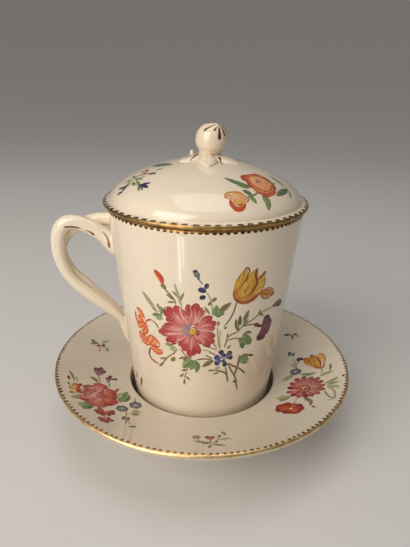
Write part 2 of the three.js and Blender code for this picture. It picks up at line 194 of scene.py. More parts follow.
speck_rare = add_node(kiln_marks, "Math", {"operation": "GREATER_THAN"}, i0=speck_cells.outputs["Color"],
                      i1=0.86)
speck_here = product(kiln_marks, speck_near, speck_rare.outputs[0])
speck_share = product(kiln_marks, speck_here, given.outputs["Specks"])
specked = mixed(kiln_marks, speck_share, stippled, (*srgb(120, 92, 66), 1))
ripple = add_node(kiln_marks, "TexNoise", Vector=place, Scale=95.0, Detail=1.5)
kiln_marks.links.new(specked, result.inputs["Color"])
sheen = ranged(kiln_marks, clouds.outputs["Fac"], 0.3, 0.7, 0.12, 0.2)
kiln_marks.links.new(sheen, result.inputs["Roughness"])
kiln_marks.links.new(ripple.outputs["Fac"], result.inputs["Ripple"])


def start_material(name, group, relief, strength, distance, **values):
    """Starts a material whose colour, roughness and relief come from one node group."""
    material = bpy.data.materials.new(name)
    material.use_nodes = True
    tree = material.node_tree
    shader = tree.nodes["Principled BSDF"]
    coat = add_node(tree, "Group", {"node_tree": group}, **values)
    bump = add_node(tree, "Bump", Strength=strength, Distance=distance, Height=coat.outputs[relief])
    tree.links.new(coat.outputs["Color"], shader.inputs["Base Color"])
    tree.links.new(coat.outputs["Roughness"], shader.inputs["Roughness"])
    tree.links.new(bump.outputs["Normal"], shader.inputs["Normal"])
    return material, coat, shader


def glaze(name, tone, cloud_tone, clouds=0.6, specks=0.7):
    """Glazed porcelain: the kiln's marks in the body's colour under a clear glassy coat."""
    material, _, shader = start_material(
        name, kiln_marks, "Ripple", 0.12, 0.0004, Tone=(*srgb(*tone), 1), Cloud_Tone=(*srgb(*cloud_tone), 1),
        Clouds=clouds, Specks=specks)
    shader.inputs["IOR"].default_value = 1.5
    shader.inputs["Coat Weight"].default_value = 0.6
    shader.inputs["Coat Roughness"].default_value = 0.04
    return material


dish_low, dish_high = (math.tan(math.radians(s)) for s in DISH_SLOPES)
lip_round = SAUCER_LIP / 2
lip_centre = (SAUCER_RADIUS - lip_round, SAUCER_HEIGHT - lip_round)
rim = arc(*lip_centre, lip_round, DISH_SLOPES[1] - 90, DISH_SLOPES[1] + 90, 18)


def dish_face(low, high):
    run = (high[0] - low[0]) / 3
    after = (low[0] + run, low[1] + run * dish_low)
    before = (high[0] - run, high[1] - run * dish_high)
    return sweep(low, after, before, high, 48)


foot_out = WELL_FLOOR_RADIUS + WELL_WALL
foot_in = foot_out - SAUCER_FOOT_WIDTH
wall_out = WELL_MOUTH_RADIUS + WELL_WALL
under_z = WELL_MOUTH_Z - SAUCER_WALL
dish_foot = (wall_out + WELL_CORNER_ROUND, under_z + WELL_CORNER_ROUND * dish_low)
dish_start = (WELL_MOUTH_RADIUS + WELL_EDGE_ROUND, WELL_MOUTH_Z)
dish_top = dish_face(dish_start, rim[-1])
saucer_profile = [
    (0, SAUCER_FOOT_HEIGHT),
    (foot_in - 3.0, SAUCER_FOOT_HEIGHT),
    *corner((foot_in - 2.2, SAUCER_FOOT_HEIGHT), (foot_in - 0.9, SAUCER_FOOT_HEIGHT),
            (foot_in - 0.3, 0.6), 8),
    *corner((foot_in - 0.15, 0.3), (foot_in, 0), (foot_in + 0.35, 0), 5),
    *corner((foot_out - 0.35, 0), (foot_out, 0), (foot_out + 0.03, 0.35), 5),
    *corner((wall_out, under_z - WELL_CORNER_ROUND), (wall_out, under_z), dish_foot),
    *dish_face(dish_foot, rim[0])[1:],
    *rim[1:],
    *dish_top[::-1][1:],
    *corner(dish_start, (WELL_MOUTH_RADIUS, WELL_MOUTH_Z),
            (WELL_MOUTH_RADIUS, WELL_MOUTH_Z - WELL_EDGE_ROUND))[1:],
    *corner((WELL_FLOOR_RADIUS, WELL_FLOOR_Z + WELL_CORNER_ROUND), (WELL_FLOOR_RADIUS, WELL_FLOOR_Z),
            (WELL_FLOOR_RADIUS - WELL_CORNER_ROUND, WELL_FLOOR_Z)),
    (0, WELL_FLOOR_Z),
]
# The saucer's glaze colours are darker and greyer than the cup's porcelain: painted shade on the saucer.
saucer_glaze_painted_shade = glaze("saucer_glaze_painted_shade", (226, 214, 195), (214, 201, 182))
saucer = throw("saucer_porcelain", saucer_profile, saucer_glaze_painted_shade)
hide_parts("saucer")
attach(saucer, "saucer")

# The saucer's gilt rim. Burnished gold lies round the lip, and a row of short dabs, like dentils, is
# painted inside it by eye, so that they vary a little. The gold is worn thin in places.

TEETH_ON_RIM = 196
TOOTH_OUTER_RADIUS = 69.45
TOOTH_INNER_RADIUS = 68
TOOTH_WIDTH = 1.12
TOOTH_WIDER_IN_FRONT = 0.3
TEETH_SPREAD_IN_FRONT = 0.18 # how much further apart they stand at the front than at the sides

worn_gold, given, result = start_group(
    "worn_gold",
    [("Gold", "Color", (0.8, 0.6, 0.3, 1)), ("Tarnish", "Color", (0.3, 0.2, 0.1, 1)), ("Wear", "Float", 0.4)],
    [("Color", "Color"), ("Roughness", "Float"), ("Grain", "Float")],
)
place = add_node(worn_gold, "TexCoord").outputs["Object"]
patches = add_node(worn_gold, "TexNoise", Vector=place, Scale=260.0, Detail=4.0, Roughness=0.6)
patch_mask = ranged(worn_gold, patches.outputs["Fac"], 0.38, 0.66)
patch_share = product(worn_gold, patch_mask, given.outputs["Wear"])
tarnished = mixed(worn_gold, patch_share, given.outputs["Gold"], given.outputs["Tarnish"])
burnish = add_node(worn_gold, "TexNoise", Vector=place, Scale=900.0, Detail=3.0).outputs["Fac"]
worn_gold.links.new(tarnished, result.inputs["Color"])
worn_gold.links.new(ranged(worn_gold, burnish, 0.3, 0.7, 0.26, 0.5), result.inputs["Roughness"])
worn_gold.links.new(burnish, result.inputs["Grain"])


def gild(name, gold, tarnish, wear):
    """Fired gold: a metal skin, brighter where it is burnished and browner where it is worn."""
    material, _, shader = start_material(
        name, worn_gold, "Grain", 0.25, 0.00005, Gold=(*srgb(*gold), 1), Tarnish=(*srgb(*tarnish), 1),
        Wear=wear)
    shader.inputs["Metallic"].default_value = 1.0
    return material


def gilt_band(name, stretch, material, lift=0.035, wobble=0.08, sides=512, seed=1):
    """A band of gold over a stretch of a turned profile. Its edges wander as a hand-held brush does."""
    stretch = np.array(stretch, float)
    along = np.gradient(stretch, axis=0)
    along /= np.linalg.norm(along, axis=1)[:, None]
    outward = np.stack([along[:, 1], -along[:, 0]], 1)
    turns = np.arange(sides) * 2 * math.pi / sides
    rng = np.random.default_rng(seed)
    points = []
    last = len(stretch) - 1
    waves = [(rng.integers(5, 60), rng.uniform(0, 6.3)) for _ in range(10)]
    for ring, (place, out, way) in enumerate(zip(stretch, outward, along)):
        edge = -1 if ring == 0 else 1 if ring == last else 0
        drift = edge * wobble * sum(np.sin(count * turns + phase) for count, phase in waves) / 4
        height = lift if edge == 0 else lift * 0.1
        radius = place[0] + out[0] * height + way[0] * drift
        z = place[1] + out[1] * height + way[1] * drift
        points.append(np.stack([radius * np.cos(turns), radius * np.sin(turns), z + 0 * turns], 1))
    return add_piece(name, np.concatenate(points), skin(len(stretch), sides), material)


def face_of(stretch, map_radii):
    """Gives the surface over a flat round map of a turned face. Each profile point has its map radius."""
    stretch = np.array(stretch, float)
    way = np.gradient(stretch, axis=0)
    way /= np.linalg.norm(way, axis=1)[:, None]

    def surface(x, y):
        reach = np.hypot(x, y)
        radius, z, slope_r, slope_z = (np.interp(reach, map_radii, values) for values in (*stretch.T, *way.T))
        cosine, sine = x / np.maximum(reach, 1e-9), y / np.maximum(reach, 1e-9)
        normal = np.stack([-cosine * slope_z, -sine * slope_z, slope_r], -1)
        spot = np.stack([radius * cosine, radius * sine, z], -1)
        return spot, normal / np.linalg.norm(normal, axis=-1, keepdims=True)

    return surface


def thread(s):
    """How wide a thin mark is along its length: widest in the middle."""
    return np.clip(np.sin(math.pi * s), 0.05, 1) ** 0.6


# How wide each kind of brush mark is along its length, as a share of its full width
MARKS = {
    "petal": lambda s: ((0.22 + 0.78 * np.clip(s / 0.72, 0, 1) ** 0.9)
                        * np.sqrt(1 - np.clip((s - 0.72) / 0.281, 0, 1) ** 2)),
    "leaf": lambda s: np.sin(math.pi * s ** 0.85) ** 0.8,
    "dab": lambda s: np.sqrt(np.clip(1 - (2 * s - 1) ** 2, 0, 1)),
    "line": lambda s: np.clip(np.minimum(s / 0.12, (1 - s) / 0.2), 0.02, 1) ** 0.5,
    "drop": lambda s: s ** 0.7 * np.sqrt(1 - np.clip((s - 0.8) / 0.201, 0, 1) ** 2),
    "edge": thread,
    "streak": thread,
}

# Enamel colours: thin, full and thick
INKS = {
    "blush": ((240, 212, 200), (226, 168, 156), (204, 124, 112)),
    "crimson": ((224, 146, 138), (190, 74, 68), (146, 40, 34)),
    "rose": ((232, 178, 168), (196, 98, 92), (150, 56, 50)),
    "scarlet": ((222, 116, 80), (186, 66, 36), (134, 38, 20)),
    "orange": ((234, 146, 94), (206, 86, 42), (162, 54, 24)),
    "amber": ((246, 220, 178), (240, 192, 136), (218, 146, 84)),
    "tan": ((240, 204, 152), (222, 168, 112), (198, 130, 76)),
    "peach": ((240, 188, 140), (230, 160, 110), (206, 120, 74)),
    "apricot": ((246, 184, 132), (236, 146, 92), (214, 108, 58)),
    "brick": ((196, 96, 60), (156, 50, 28), (102, 28, 12)),
    "garnet": ((178, 70, 62), (142, 44, 38), (104, 24, 20)),
    "dusty": ((206, 150, 138), (172, 92, 82), (130, 60, 50)),
    "rust": ((206, 120, 78), (166, 74, 40), (118, 46, 24)),
    "yellow": ((238, 206, 96), (216, 164, 44), (176, 110, 28)),
    "umber": ((156, 96, 54), (122, 62, 30), (82, 36, 20)),
    "green": ((176, 188, 138), (122, 144, 90), (74, 98, 58)),
    "sage": ((200, 200, 160), (164, 168, 124), (120, 124, 86)),
    "olive": ((172, 160, 116), (130, 118, 76), (88, 78, 48)),
    "moss": ((146, 158, 116), (90, 110, 72), (52, 68, 46)),
    "stem": ((164, 144, 112), (128, 108, 78), (92, 74, 56)),
    "plumstem": ((156, 118, 104), (126, 84, 74), (92, 56, 52)),
    "mist": ((206, 176, 172), (168, 132, 136), (122, 92, 100)),
    "blue": ((116, 122, 182), (62, 66, 138), (32, 34, 86)),
    "steel": ((146, 150, 158), (82, 88, 106), (44, 48, 68)),
    "slate": ((150, 156, 150), (104, 112, 112), (60, 66, 74)),
    "night": ((92, 94, 122), (50, 50, 80), (28, 28, 46)),
    "purple": ((160, 92, 122), (116, 42, 74), (68, 18, 42)),
    "plum": ((140, 62, 88), (96, 28, 52), (52, 12, 30)),
    "mauve": ((186, 146, 158), (142, 92, 112), (92, 50, 70)),
    "ochre": ((232, 184, 92), (204, 136, 44), (158, 88, 24)),
    "gold": ((200, 160, 90), (170, 125, 60), (120, 80, 34)),
}


def smooth_path(points, step):
    """A smooth line through a few points, with its sideways directions and each point's share of it."""
    knots = np.array(points, float)
    if len(knots) == 2:
        knots = np.array([knots[0], (knots[0] + knots[1]) / 2, knots[1]])
    padded = np.vstack([2 * knots[0] - knots[1], knots, 2 * knots[-1] - knots[-2]])
    dense = []
    for a, b, c, d in zip(padded, padded[1:], padded[2:], padded[3:]):
        t = np.linspace(0, 1, 16, endpoint=False)[:, None]
        bend, twist = 2 * a - 5 * b + 4 * c - d, 3 * b - a - 3 * c + d
        dense.append(0.5 * (2 * b + (c - a) * t + bend * t ** 2 + twist * t ** 3))
    dense = np.vstack([*dense, knots[-1:]])
    run = np.concatenate([[0], np.cumsum(np.hypot(*np.diff(dense, axis=0).T))])
    count = int(np.clip(run[-1] / step, 7, 44))
    share = (1 - np.cos(np.linspace(0, math.pi, count + 1))) / 2 * 0.5 + np.linspace(0, 1, count + 1) * 0.5
    line = np.stack([np.interp(share * run[-1], run, dense[:, k]) for k in (0, 1)], 1)
    way = np.gradient(line, axis=0)
    way /= np.linalg.norm(way, axis=1)[:, None] + 1e-9
    return line, np.stack([-way[:, 1], way[:, 0]], 1), share


def ink_depth(kind, s, v, rng):
    """How thickly the colour lies over a mark: 0 is thin, 1 is full and 2 is thick, streaked by the hairs."""
    hairs = np.interp(v, np.linspace(-1, 1, 11), rng.uniform(-1, 1, 11))
    pool = 0.4 * np.sin(s * rng.uniform(3, 7) + rng.uniform(0, 6) + 2 * v)
    if kind == "petal":
        return 0.35 + 1.05 * s ** 1.5 + 0.5 * np.abs(v) ** 4 + 0.42 * hairs + 0.2 * pool
    if kind == "leaf":
        return 0.8 + 0.45 * v + 0.35 * hairs + 0.5 * np.abs(2 * s - 1) ** 3 + 0.2 * pool
    if kind == "line":
        return 1.0 + 0.3 * hairs + 0.5 * pool
    if kind == "edge":
        return 1.75 + 0.2 * hairs + 0.3 * pool
    if kind == "streak":
        return 0.15 + 0.15 * hairs
    return 0.85 + 0.6 * (s - 0.4) + 0.3 * hairs + 0.3 * pool + 0.3 * np.abs(v) ** 3


LAYER_STEP = 0.0035
FINE_MARK_LIFT = 0.022
MARK_SWELL = 0.03
MARK_WAVER = 0.06


def paint(name, marks, surface, material, seed=1, lift=0.02, step=0.3):
    """Lays brush marks on a surface as thin raised skins. A mark is its kind, ink, width and path."""
    rng = np.random.default_rng(seed)
    points, faces, colours = [], [], []
    total = 0
    for order, (kind, ink, width, path) in enumerate(marks):
        line, side, s = smooth_path(path, step)
        columns = int(np.clip(math.ceil(width / 0.4), 2, 9)) + 1
        v = np.linspace(-1, 1, columns)
        waver = 1 + MARK_WAVER * np.sin(s * rng.uniform(5, 11) + rng.uniform(0, 6))
        half = width / 2 * MARKS[kind](np.clip(s, 0.004, 0.996)) * waver
        across = np.clip(half, 0.02, None)[:, None] * v[None, :]
        x = line[:, 0, None] + side[:, 0, None] * across
        y = line[:, 1, None] + side[:, 1, None] * across
        spot, normal = surface(x, y)
        layer = lift + LAYER_STEP * (order % 7)
        layer += FINE_MARK_LIFT if kind in ("line", "drop", "edge", "streak") else 0
        edge = np.minimum(1 - v[None, :] ** 2, 8 * np.minimum(s, 1 - s)[:, None] + 0 * v[None, :])
        spot = spot + normal * (layer + MARK_SWELL * np.clip(edge, 0, 1))[..., None]
        depth = np.clip(ink_depth(kind, s[:, None], v[None, :], rng) + 0 * x, 0, 2)[..., None]
        thin, full, thick = (np.array(srgb(*c)) for c in INKS[ink])
        colour = np.where(depth < 1, thin + (full - thin) * depth, full + (thick - full) * (depth - 1))
        rows = len(s)
        points.append(spot.reshape(-1, 3))
        colours.append(np.concatenate([colour.reshape(-1, 3), np.ones((rows * columns, 1))], 1))
        grid = total + np.arange(rows * columns).reshape(rows, columns)
        squares = np.stack([grid[:-1, 1:], grid[:-1, :-1], grid[1:, :-1], grid[1:, 1:]], -1)
        faces += squares.reshape(-1, 4).tolist()
        total += rows * columns
    points = np.concatenate(points)
    piece = add_piece(name, points, faces, material, 180)
    layer = piece.data.color_attributes.new("enamel", "FLOAT_COLOR", "POINT")
    layer.data.foreach_set("color", np.concatenate(colours).astype(np.float32).ravel())
    return piece


def around(marks, turn):
    """The same marks laid elsewhere on a round piece: turned in degrees about its middle."""
    cosine, sine = math.cos(math.radians(turn)), math.sin(math.radians(turn))
    return [(kind, ink, width, [(x * cosine - y * sine, x * sine + y * cosine) for x, y in path])
            for kind, ink, width, path in marks]


brim_gold = gild("brim_gold", (190, 154, 98), (104, 78, 44), 0.8)
lip_gold = gild("lip_gold", (240, 214, 168), (204, 164, 112), 0.8)
rim_tooth_gold = gild("rim_tooth_gold", (196, 138, 78), (122, 80, 44), 0.8)
tooth_gold = gild("tooth_gold", (124, 88, 52), (72, 46, 24), 0.8)
saucer_gold = gilt_band("saucer_gilt_lip", rim[6:16], lip_gold, wobble=0.05, seed=11)
over_lip = rim[::-1][1:15]
lip_run = np.cumsum(np.hypot(*np.diff(np.array([dish_top[-1], *over_lip]), axis=0).T))
on_saucer = face_of(dish_top + over_lip, [point[0] for point in dish_top] + list(dish_top[-1][0] + lip_run))
rng = np.random.default_rng(5)
teeth = []
for tooth in range(TEETH_ON_RIM):
    turn = 2 * math.pi * (tooth + rng.uniform(-0.1, 0.1)) / TEETH_ON_RIM
    turn += TEETH_SPREAD_IN_FRONT * math.sin(turn + math.pi / 2)
    broad = TOOTH_WIDTH + TOOTH_WIDER_IN_FRONT * math.cos(turn + math.pi / 2)
    outer, inner = TOOTH_OUTER_RADIUS, TOOTH_INNER_RADIUS + rng.uniform(-0.15, 0.15)
    lean = turn + rng.uniform(-0.003, 0.003)
    teeth.append(("dab", "gold", broad * rng.uniform(0.88, 1.12), [
        (inner * math.cos(lean), inner * math.sin(lean)), (outer * math.cos(turn), outer * math.sin(turn))]))
saucer_teeth = paint("saucer_gilt_teeth", teeth, on_saucer, rim_tooth_gold, seed=6, lift=0.012, step=0.25)
for piece in (saucer_gold, saucer_teeth):
    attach(piece, "saucer")

# The saucer's painting. Enamel flowers are laid over the fired glaze with a soft brush: two large
# bouquets on the sides, a third behind the cup, and single sprigs between them. The colours stand
# up a little.

enamel_coat, given, result = start_group(
    "enamel_coat",
    [("Paint", "Color", (0.5, 0.5, 0.5, 1)), ("Grain", "Float", 0.5)],
    [("Color", "Color"), ("Roughness", "Float"), ("Height", "Float")],
)
place = add_node(enamel_coat, "TexCoord").outputs["Object"]
grains = add_node(enamel_coat, "TexNoise", Vector=place, Scale=1500.0, Detail=3.0, Roughness=0.7)
grain_mask = ranged(enamel_coat, grains.outputs["Fac"], 0.35, 0.7)
grain_share = product(enamel_coat, grain_mask, given.outputs["Grain"])
grained = mixed(enamel_coat, grain_share, given.outputs["Paint"], (0.62, 0.56, 0.5, 1), "MULTIPLY")
melt = add_node(enamel_coat, "TexNoise", Vector=place, Scale=420.0, Detail=1.0)
enamel_coat.links.new(grained, result.inputs["Color"])
sheen = ranged(enamel_coat, melt.outputs["Fac"], 0.3, 0.7, 0.16, 0.4)
enamel_coat.links.new(sheen, result.inputs["Roughness"])
enamel_coat.links.new(grains.outputs["Fac"], result.inputs["Height"])


def enamel(name, grain=0.45):
    """Fired enamel: the brush's own colours, with the pigment's grain, sunk into the glaze."""
    material, coat, shader = start_material(name, enamel_coat, "Height", 0.3, 0.00004, Grain=grain)
    brushed = add_node(material.node_tree, "Attribute", {"attribute_name": "enamel"})
    material.node_tree.links.new(brushed.outputs["Color"], coat.inputs["Paint"])
    shader.inputs["IOR"].default_value = 1.5
    return material


def strokes(text):
    """Reads brush marks from lines of text: each a kind, an ink, a width and the points of its path."""
    marks = []
    for entry in text.strip().replace("\n", ";").split(";"):
        kind, ink, width, *path = entry.split()
        marks.append((kind, ink, float(width), [tuple(map(float, spot.split(","))) for spot in path]))
    return marks


def rays(ink, x, y, reach, count, turn, wide, heart):
    """An open flower: petals drawn out from its heart, then the heart dabbed on."""
    marks = []
    for petal in range(count):
        angle = math.radians(turn + 360 * petal / count)
        cosine, sine = math.cos(angle), math.sin(angle)
        path = [(x + cosine * reach * share, y + sine * reach * share) for share in (0.2, 0.6, 1)]
        marks.append(("petal", ink, wide, path))
    return marks + [("dab", heart, reach * 0.42, [(x - reach * 0.24, y), (x + reach * 0.24, y)])]


def towards(heart, tip, share):
    """The point at a share of the way from a flower's heart to a petal's tip."""
    return heart[0] + share * (tip[0] - heart[0]), heart[1] + share * (tip[1] - heart[1])


# Places on a petal and on a leaf: how far along, and how far to the side as a share of half the width
PETAL_RIM = [(0.45, 0.96), (0.65, 0.98), (0.82, 0.95), (0.94, 0.9), (0.99, 0.4), (0.985, -0.5), (0.92, -0.93),
             (0.75, -0.97)]
PETAL_FOLD = [(0.95, -0.12), (0.75, -0.16), (0.5, -0.12)]
LEAF_RIB = [(0.05, 0), (0.4, 0.03), (0.9, 0)]
# A leaf's side ribs: how far along each starts, and the side it runs to
SIDE_RIBS = [(0.22, 1), (0.3, -1), (0.48, 1), (0.56, -1)]


def finished(marks):
    """Adds what the fine brush does last: dark edges and light streaks on petals, and ribs on leaves."""
    done = []
    for kind, ink, width, path in marks:
        done.append((kind, ink, width, path))
        if kind not in ("petal", "leaf") or width < 1.5:
            continue
        line, side, share = smooth_path(path, 0.3)

        def spot(s, v):
            across = width / 2 * float(MARKS[kind](np.array(s))) * v
            return tuple(np.interp(s, share, line[:, k]) + np.interp(s, share, side[:, k]) * across
                         for k in (0, 1))

        if kind == "petal":
            done.append(("edge", ink, 0.34, [spot(*place) for place in PETAL_RIM]))
            for v in (-0.45, 0.1, 0.55)[: int(np.clip(width, 1, 3))]:
                streak = [spot(0.12, v), spot(0.4, v * 1.05), spot(0.72 - 0.1 * abs(v), v * 1.1)]
                done.append(("streak", ink, 0.3, streak))
            done.append(("edge", ink, 0.28, [spot(*place) for place in PETAL_FOLD]))
        else:
            done.append(("edge", ink, 0.3, [spot(*place) for place in LEAF_RIB]))
            if width > 2.2:
                done += [("edge", ink, 0.24, [spot(s, 0), spot(s + 0.14, v * 0.5), spot(s + 0.22, v * 0.9)])
                         for s, v in SIDE_RIBS]
    return done


left_bouquet = strokes("""
line stem .5 -49.6,-9.6 -48.8,-12.6 -47.4,-16.4; line stem .5 -44,-13.6 -43.6,-15.4 -43.2,-18
line steel .4 -30.6,-23.2 -30.3,-25 -30,-27; line olive .5 -32.6,-35.4 -32.4,-37.4 -32.2,-39.8
line olive .5 -31.6,-43.2 -31.5,-44.6 -31.4,-46.4; line olive .4 -30.8,-44 -30,-45.2 -29,-46.4
leaf olive 2.1 -52.8,-12.9 -50.8,-13.8 -48.6,-16.2; leaf olive 1.2 -62.2,-13.3 -60,-16.6 -58,-20.8
leaf umber 1.3 -61.4,-17.6 -60.9,-19.4 -60.2,-21; leaf sage 1.1 -58.2,-16.2 -57.6,-18.6 -56.6,-20.8
leaf olive 1.1 -60.4,-22.8 -59.8,-24 -59,-25.2; leaf olive 1.6 -39.8,-21.2 -39.4,-19.2 -39,-17.2
leaf green 5.2 -36.6,-28.6 -35.4,-24.2 -34.8,-18.8; leaf sage 2.8 -37.9,-25.6 -37.6,-23 -37,-20.4
leaf moss 1.8 -34.6,-27.8 -33.4,-24.8 -33.2,-21.8; leaf green 5.2 -48.2,-34.6 -48.8,-38 -49.2,-41.8
leaf moss 2.4 -47.4,-37 -47.8,-39.4 -48.2,-41; leaf sage 2.4 -50.4,-36 -51.2,-38 -51.6,-40
leaf sage 3.4 -52.6,-31.8 -54.6,-33.4 -56.4,-34.4; leaf sage 3 -30.4,-34.4 -28.6,-34.6 -26.6,-34
leaf olive 2 -30.6,-36.6 -28.4,-37 -26.6,-36.6; petal mauve 2.2 -50,-10.2 -51.2,-7 -51.8,-4
petal mauve 2.3 -49.8,-10.2 -49.6,-6.4 -49.4,-2.6; petal mauve 2 -49.6,-10.2 -48.4,-7.4 -47.4,-4.6
line purple .5 -50.4,-9.6 -50.2,-6.8 -50.4,-4; line purple .5 -49.4,-9.6 -48.6,-7.2 -48.4,-4.6
dab mauve 2.2 -50.2,-9.8 -49.4,-7.4; petal mauve 2.5 -44.3,-14.4 -44.6,-12 -44.8,-9.4
petal mauve 1.9 -44.3,-11.4 -42.8,-10.4 -40.8,-10; line purple .5 -44.3,-12.4 -44,-10.8 -44.2,-8.6
petal purple 1.5 -44.4,-11.6 -44,-9.8 -44.4,-7.8; petal rust 2.2 -54.6,-24.8 -56.2,-23.8 -57.6,-22.4
petal yellow 2.2 -54.4,-24 -56.6,-24 -58.6,-23.8; petal yellow 2.2 -54.2,-26.4 -56.6,-26.6 -59,-26.4
petal yellow 2.1 -54.4,-28.4 -56,-29.6 -57.6,-31; line umber .8 -55.6,-26.8 -57,-27.2 -59,-27.2
line umber .8 -55.4,-29.6 -56.4,-30.2 -57.6,-31.2
line scarlet 1.7 -54.9,-20.8 -55.5,-24 -55.2,-26.6 -54.6,-29.6
petal rose 6.6 -46.8,-25 -47,-20.6 -46.4,-16.4; petal dusty 5.8 -48.6,-26 -50.8,-22.8 -52.4,-20.4
petal dusty 5.2 -49,-28 -51.8,-27 -54.2,-26.2; petal rose 5.2 -48.8,-29.4 -51.2,-31.4 -53.2,-33.6
petal rose 6.8 -46,-28.6 -45,-32.4 -44.2,-36.8; petal rust 5.6 -44,-29.2 -42,-31.8 -41.4,-34
petal crimson 6.4 -44.4,-28 -41.2,-29.2 -38.2,-31.4; petal rust 6 -44.4,-26.6 -41.4,-25.8 -38.4,-25.6
petal crimson 5.8 -44.8,-25.4 -42.4,-22.8 -40,-20.4; petal crimson 5 -47,-33 -48.6,-33 -50.2,-35
petal dusty 5.2 -47.8,-27.8 -46.4,-24.8 -45.6,-21.8; petal dusty 5 -47.4,-28.2 -44.6,-26.8 -42.2,-26.4
petal rose 5 -47.8,-28.6 -45.8,-30.4 -44.2,-32.2; petal rose 4.6 -48.2,-28.4 -49.4,-31 -49.2,-33
petal dusty 4.4 -48.2,-27.8 -50.2,-26.2 -50.8,-23.8; dab blush 3.4 -49.8,-30 -47,-26.4
dab blush 2.2 -48.6,-25.8 -46.4,-24.6; dab blush 1.8 -53.6,-27.2 -52,-24.4
dab blush 1.6 -50.8,-22.6 -49,-20.8; dab blush 1.3 -51.2,-31.8 -49.4,-30.8
line garnet .5 -48.8,-25.8 -50,-27.8 -49.4,-30; line blush .8 -51.4,-28.2 -49.6,-30.8 -47.4,-32.2
line garnet .6 -51.8,-23.6 -52,-27.8 -50.6,-31 -47.2,-34.4
line crimson .6 -50.4,-24.2 -51,-28.6 -49.8,-32.4; line crimson .6 -49.4,-24.8 -46.8,-24 -44.2,-26 -43.6,-29
line rust .6 -46.2,-30.6 -44.8,-32 -44.2,-34.4; line crimson .45 -48.6,-30.8 -46.4,-30.4 -45.6,-28.4
""")
left_bouquet += rays("steel", -34.8, -33.7, 2.5, 6, 20, 2.1, "sage")
left_bouquet += rays("steel", -29.6, -29.1, 2.7, 6, 45, 2.2, "blush")
left_bouquet += strokes("""
dab steel 1.8 -33,-43.4 -32.6,-40; dab slate 1.7 -31.2,-43.6 -31,-40.2; dab steel 1.5 -30,-49 -26.8,-47.4
dab sage 1.2 -32.2,-42.8 -32,-41.2; petal brick 2.1 -41.2,-39 -43.2,-39.8 -45.2,-40.6
petal brick 2.1 -41.2,-39.2 -42.6,-40.8 -43.6,-42.6; petal garnet 2.1 -41,-39.4 -41.2,-41.4 -41.4,-43.4
petal brick 2.1 -40.8,-39.2 -39.6,-40.8 -38.6,-42.2; petal garnet 2.1 -40.6,-39 -38.8,-39.6 -36.8,-39.8
petal brick 2 -40.6,-38.8 -39,-38.2 -37.2,-37.6; petal rust 2 -41.4,-38.8 -43,-38 -44.4,-37.8
dab amber 1.2 -41.6,-39.2 -40.4,-38.8; line stem .5 -41,-42.6 -40.4,-43.8 -39.8,-45
petal brick 2 -39.5,-45.4 -41,-45.8 -42.4,-46.8; petal garnet 2 -39.5,-45.6 -40.2,-47.2 -40.8,-48.8
petal brick 2 -39.2,-45.6 -38.6,-47.4 -38.6,-49.2; petal garnet 2 -39.2,-45.4 -37.8,-45.8 -36.4,-46.6
petal brick 1.6 -39.4,-45.4 -39,-44.6 -38,-44; dab amber 1 -39.8,-45.8 -38.9,-45.4
""")
right_bouquet = strokes("""
line sage .7 58.2,-5.6 58,-7.6 57.2,-10; line olive .5 46.8,-6 47,-2 47.6,3 47.2,8
line olive .5 47.6,3 49,4 50,5.4; leaf olive 1.2 62.6,-3.8 62.2,-6.6 61,-10
leaf sage 2.4 56,-11.8 59.4,-11 62.8,-11; leaf sage 2.8 56.4,-19 60,-18.4 63,-16.8
line moss .5 57,-19 60,-18.4 62.6,-17; leaf olive 1.4 57,-20.4 60,-20.6 63,-20.8
leaf sage 2.2 56.4,-21.6 59.2,-23.4 61.6,-26
line sage .9 57,-22.6 58.4,-26.4 57.8,-31 56.4,-33.6 53.4,-33.4
line olive .8 55,-25 55,-28 55.4,-31 56.6,-33; dab umber 1.2 64.8,-18 65.6,-16.4
leaf sage 4.4 40.4,-22.6 37.2,-23.2 33.8,-23.2; leaf olive 2 39.6,-23.6 37,-24.6 34.8,-25.4
leaf olive 2.4 46,-26.4 46.8,-28.6 47,-31; leaf olive 1.6 48.2,-29.2 47.4,-31.8 46.4,-34.4
leaf umber 1 47,-34.6 47.6,-36 48,-37.2; line sage .5 43,-25.4 41.6,-27.6 40,-29.4
leaf sage 2.8 45.4,-4.8 42.4,-6.6 38.8,-9; leaf green 2.6 48,-6 51.4,-7.8 55.4,-7.8
leaf sage 1.8 47.2,.4 46.4,2.6 45.4,4.4
""")
right_bouquet += rays("steel", 46.4, -3, 2.6, 6, 10, 2.2, "blush")
right_bouquet += strokes("""
dab night 2.2 49.2,5 50,8; dab plum 1.8 50.2,8 51.6,5.4; dab steel 1.7 45.6,11 46.6,14.8
dab steel 1.6 47.2,10.6 48.4,13; petal ochre 3.4 57.6,-5 54.2,0 52.8,6.6
petal tan 3.4 58.2,-5 60.6,1 59.8,6.6; petal ochre 4.6 57.8,-5 56.6,1 56.2,6.8
line ochre .8 59.4,-3.6 61.4,1.4 60.8,5.6; line umber .7 57.4,-4.6 54.6,-.6 53.6,5
line umber .7 57.8,-4.6 58.8,0 57.8,4.8; line umber .6 55.2,5.4 56,7.6 57,5.6
line rust 1 54.8,-1.4 56.4,-4.2 58.6,-5.2 60.4,-3.2; line umber .5 60.8,-1 61.2,3 60.2,7.2
line rust .6 56.6,-3.4 56,0 56.4,3.6
""")
ROSE_HEART = (46.8, -19)
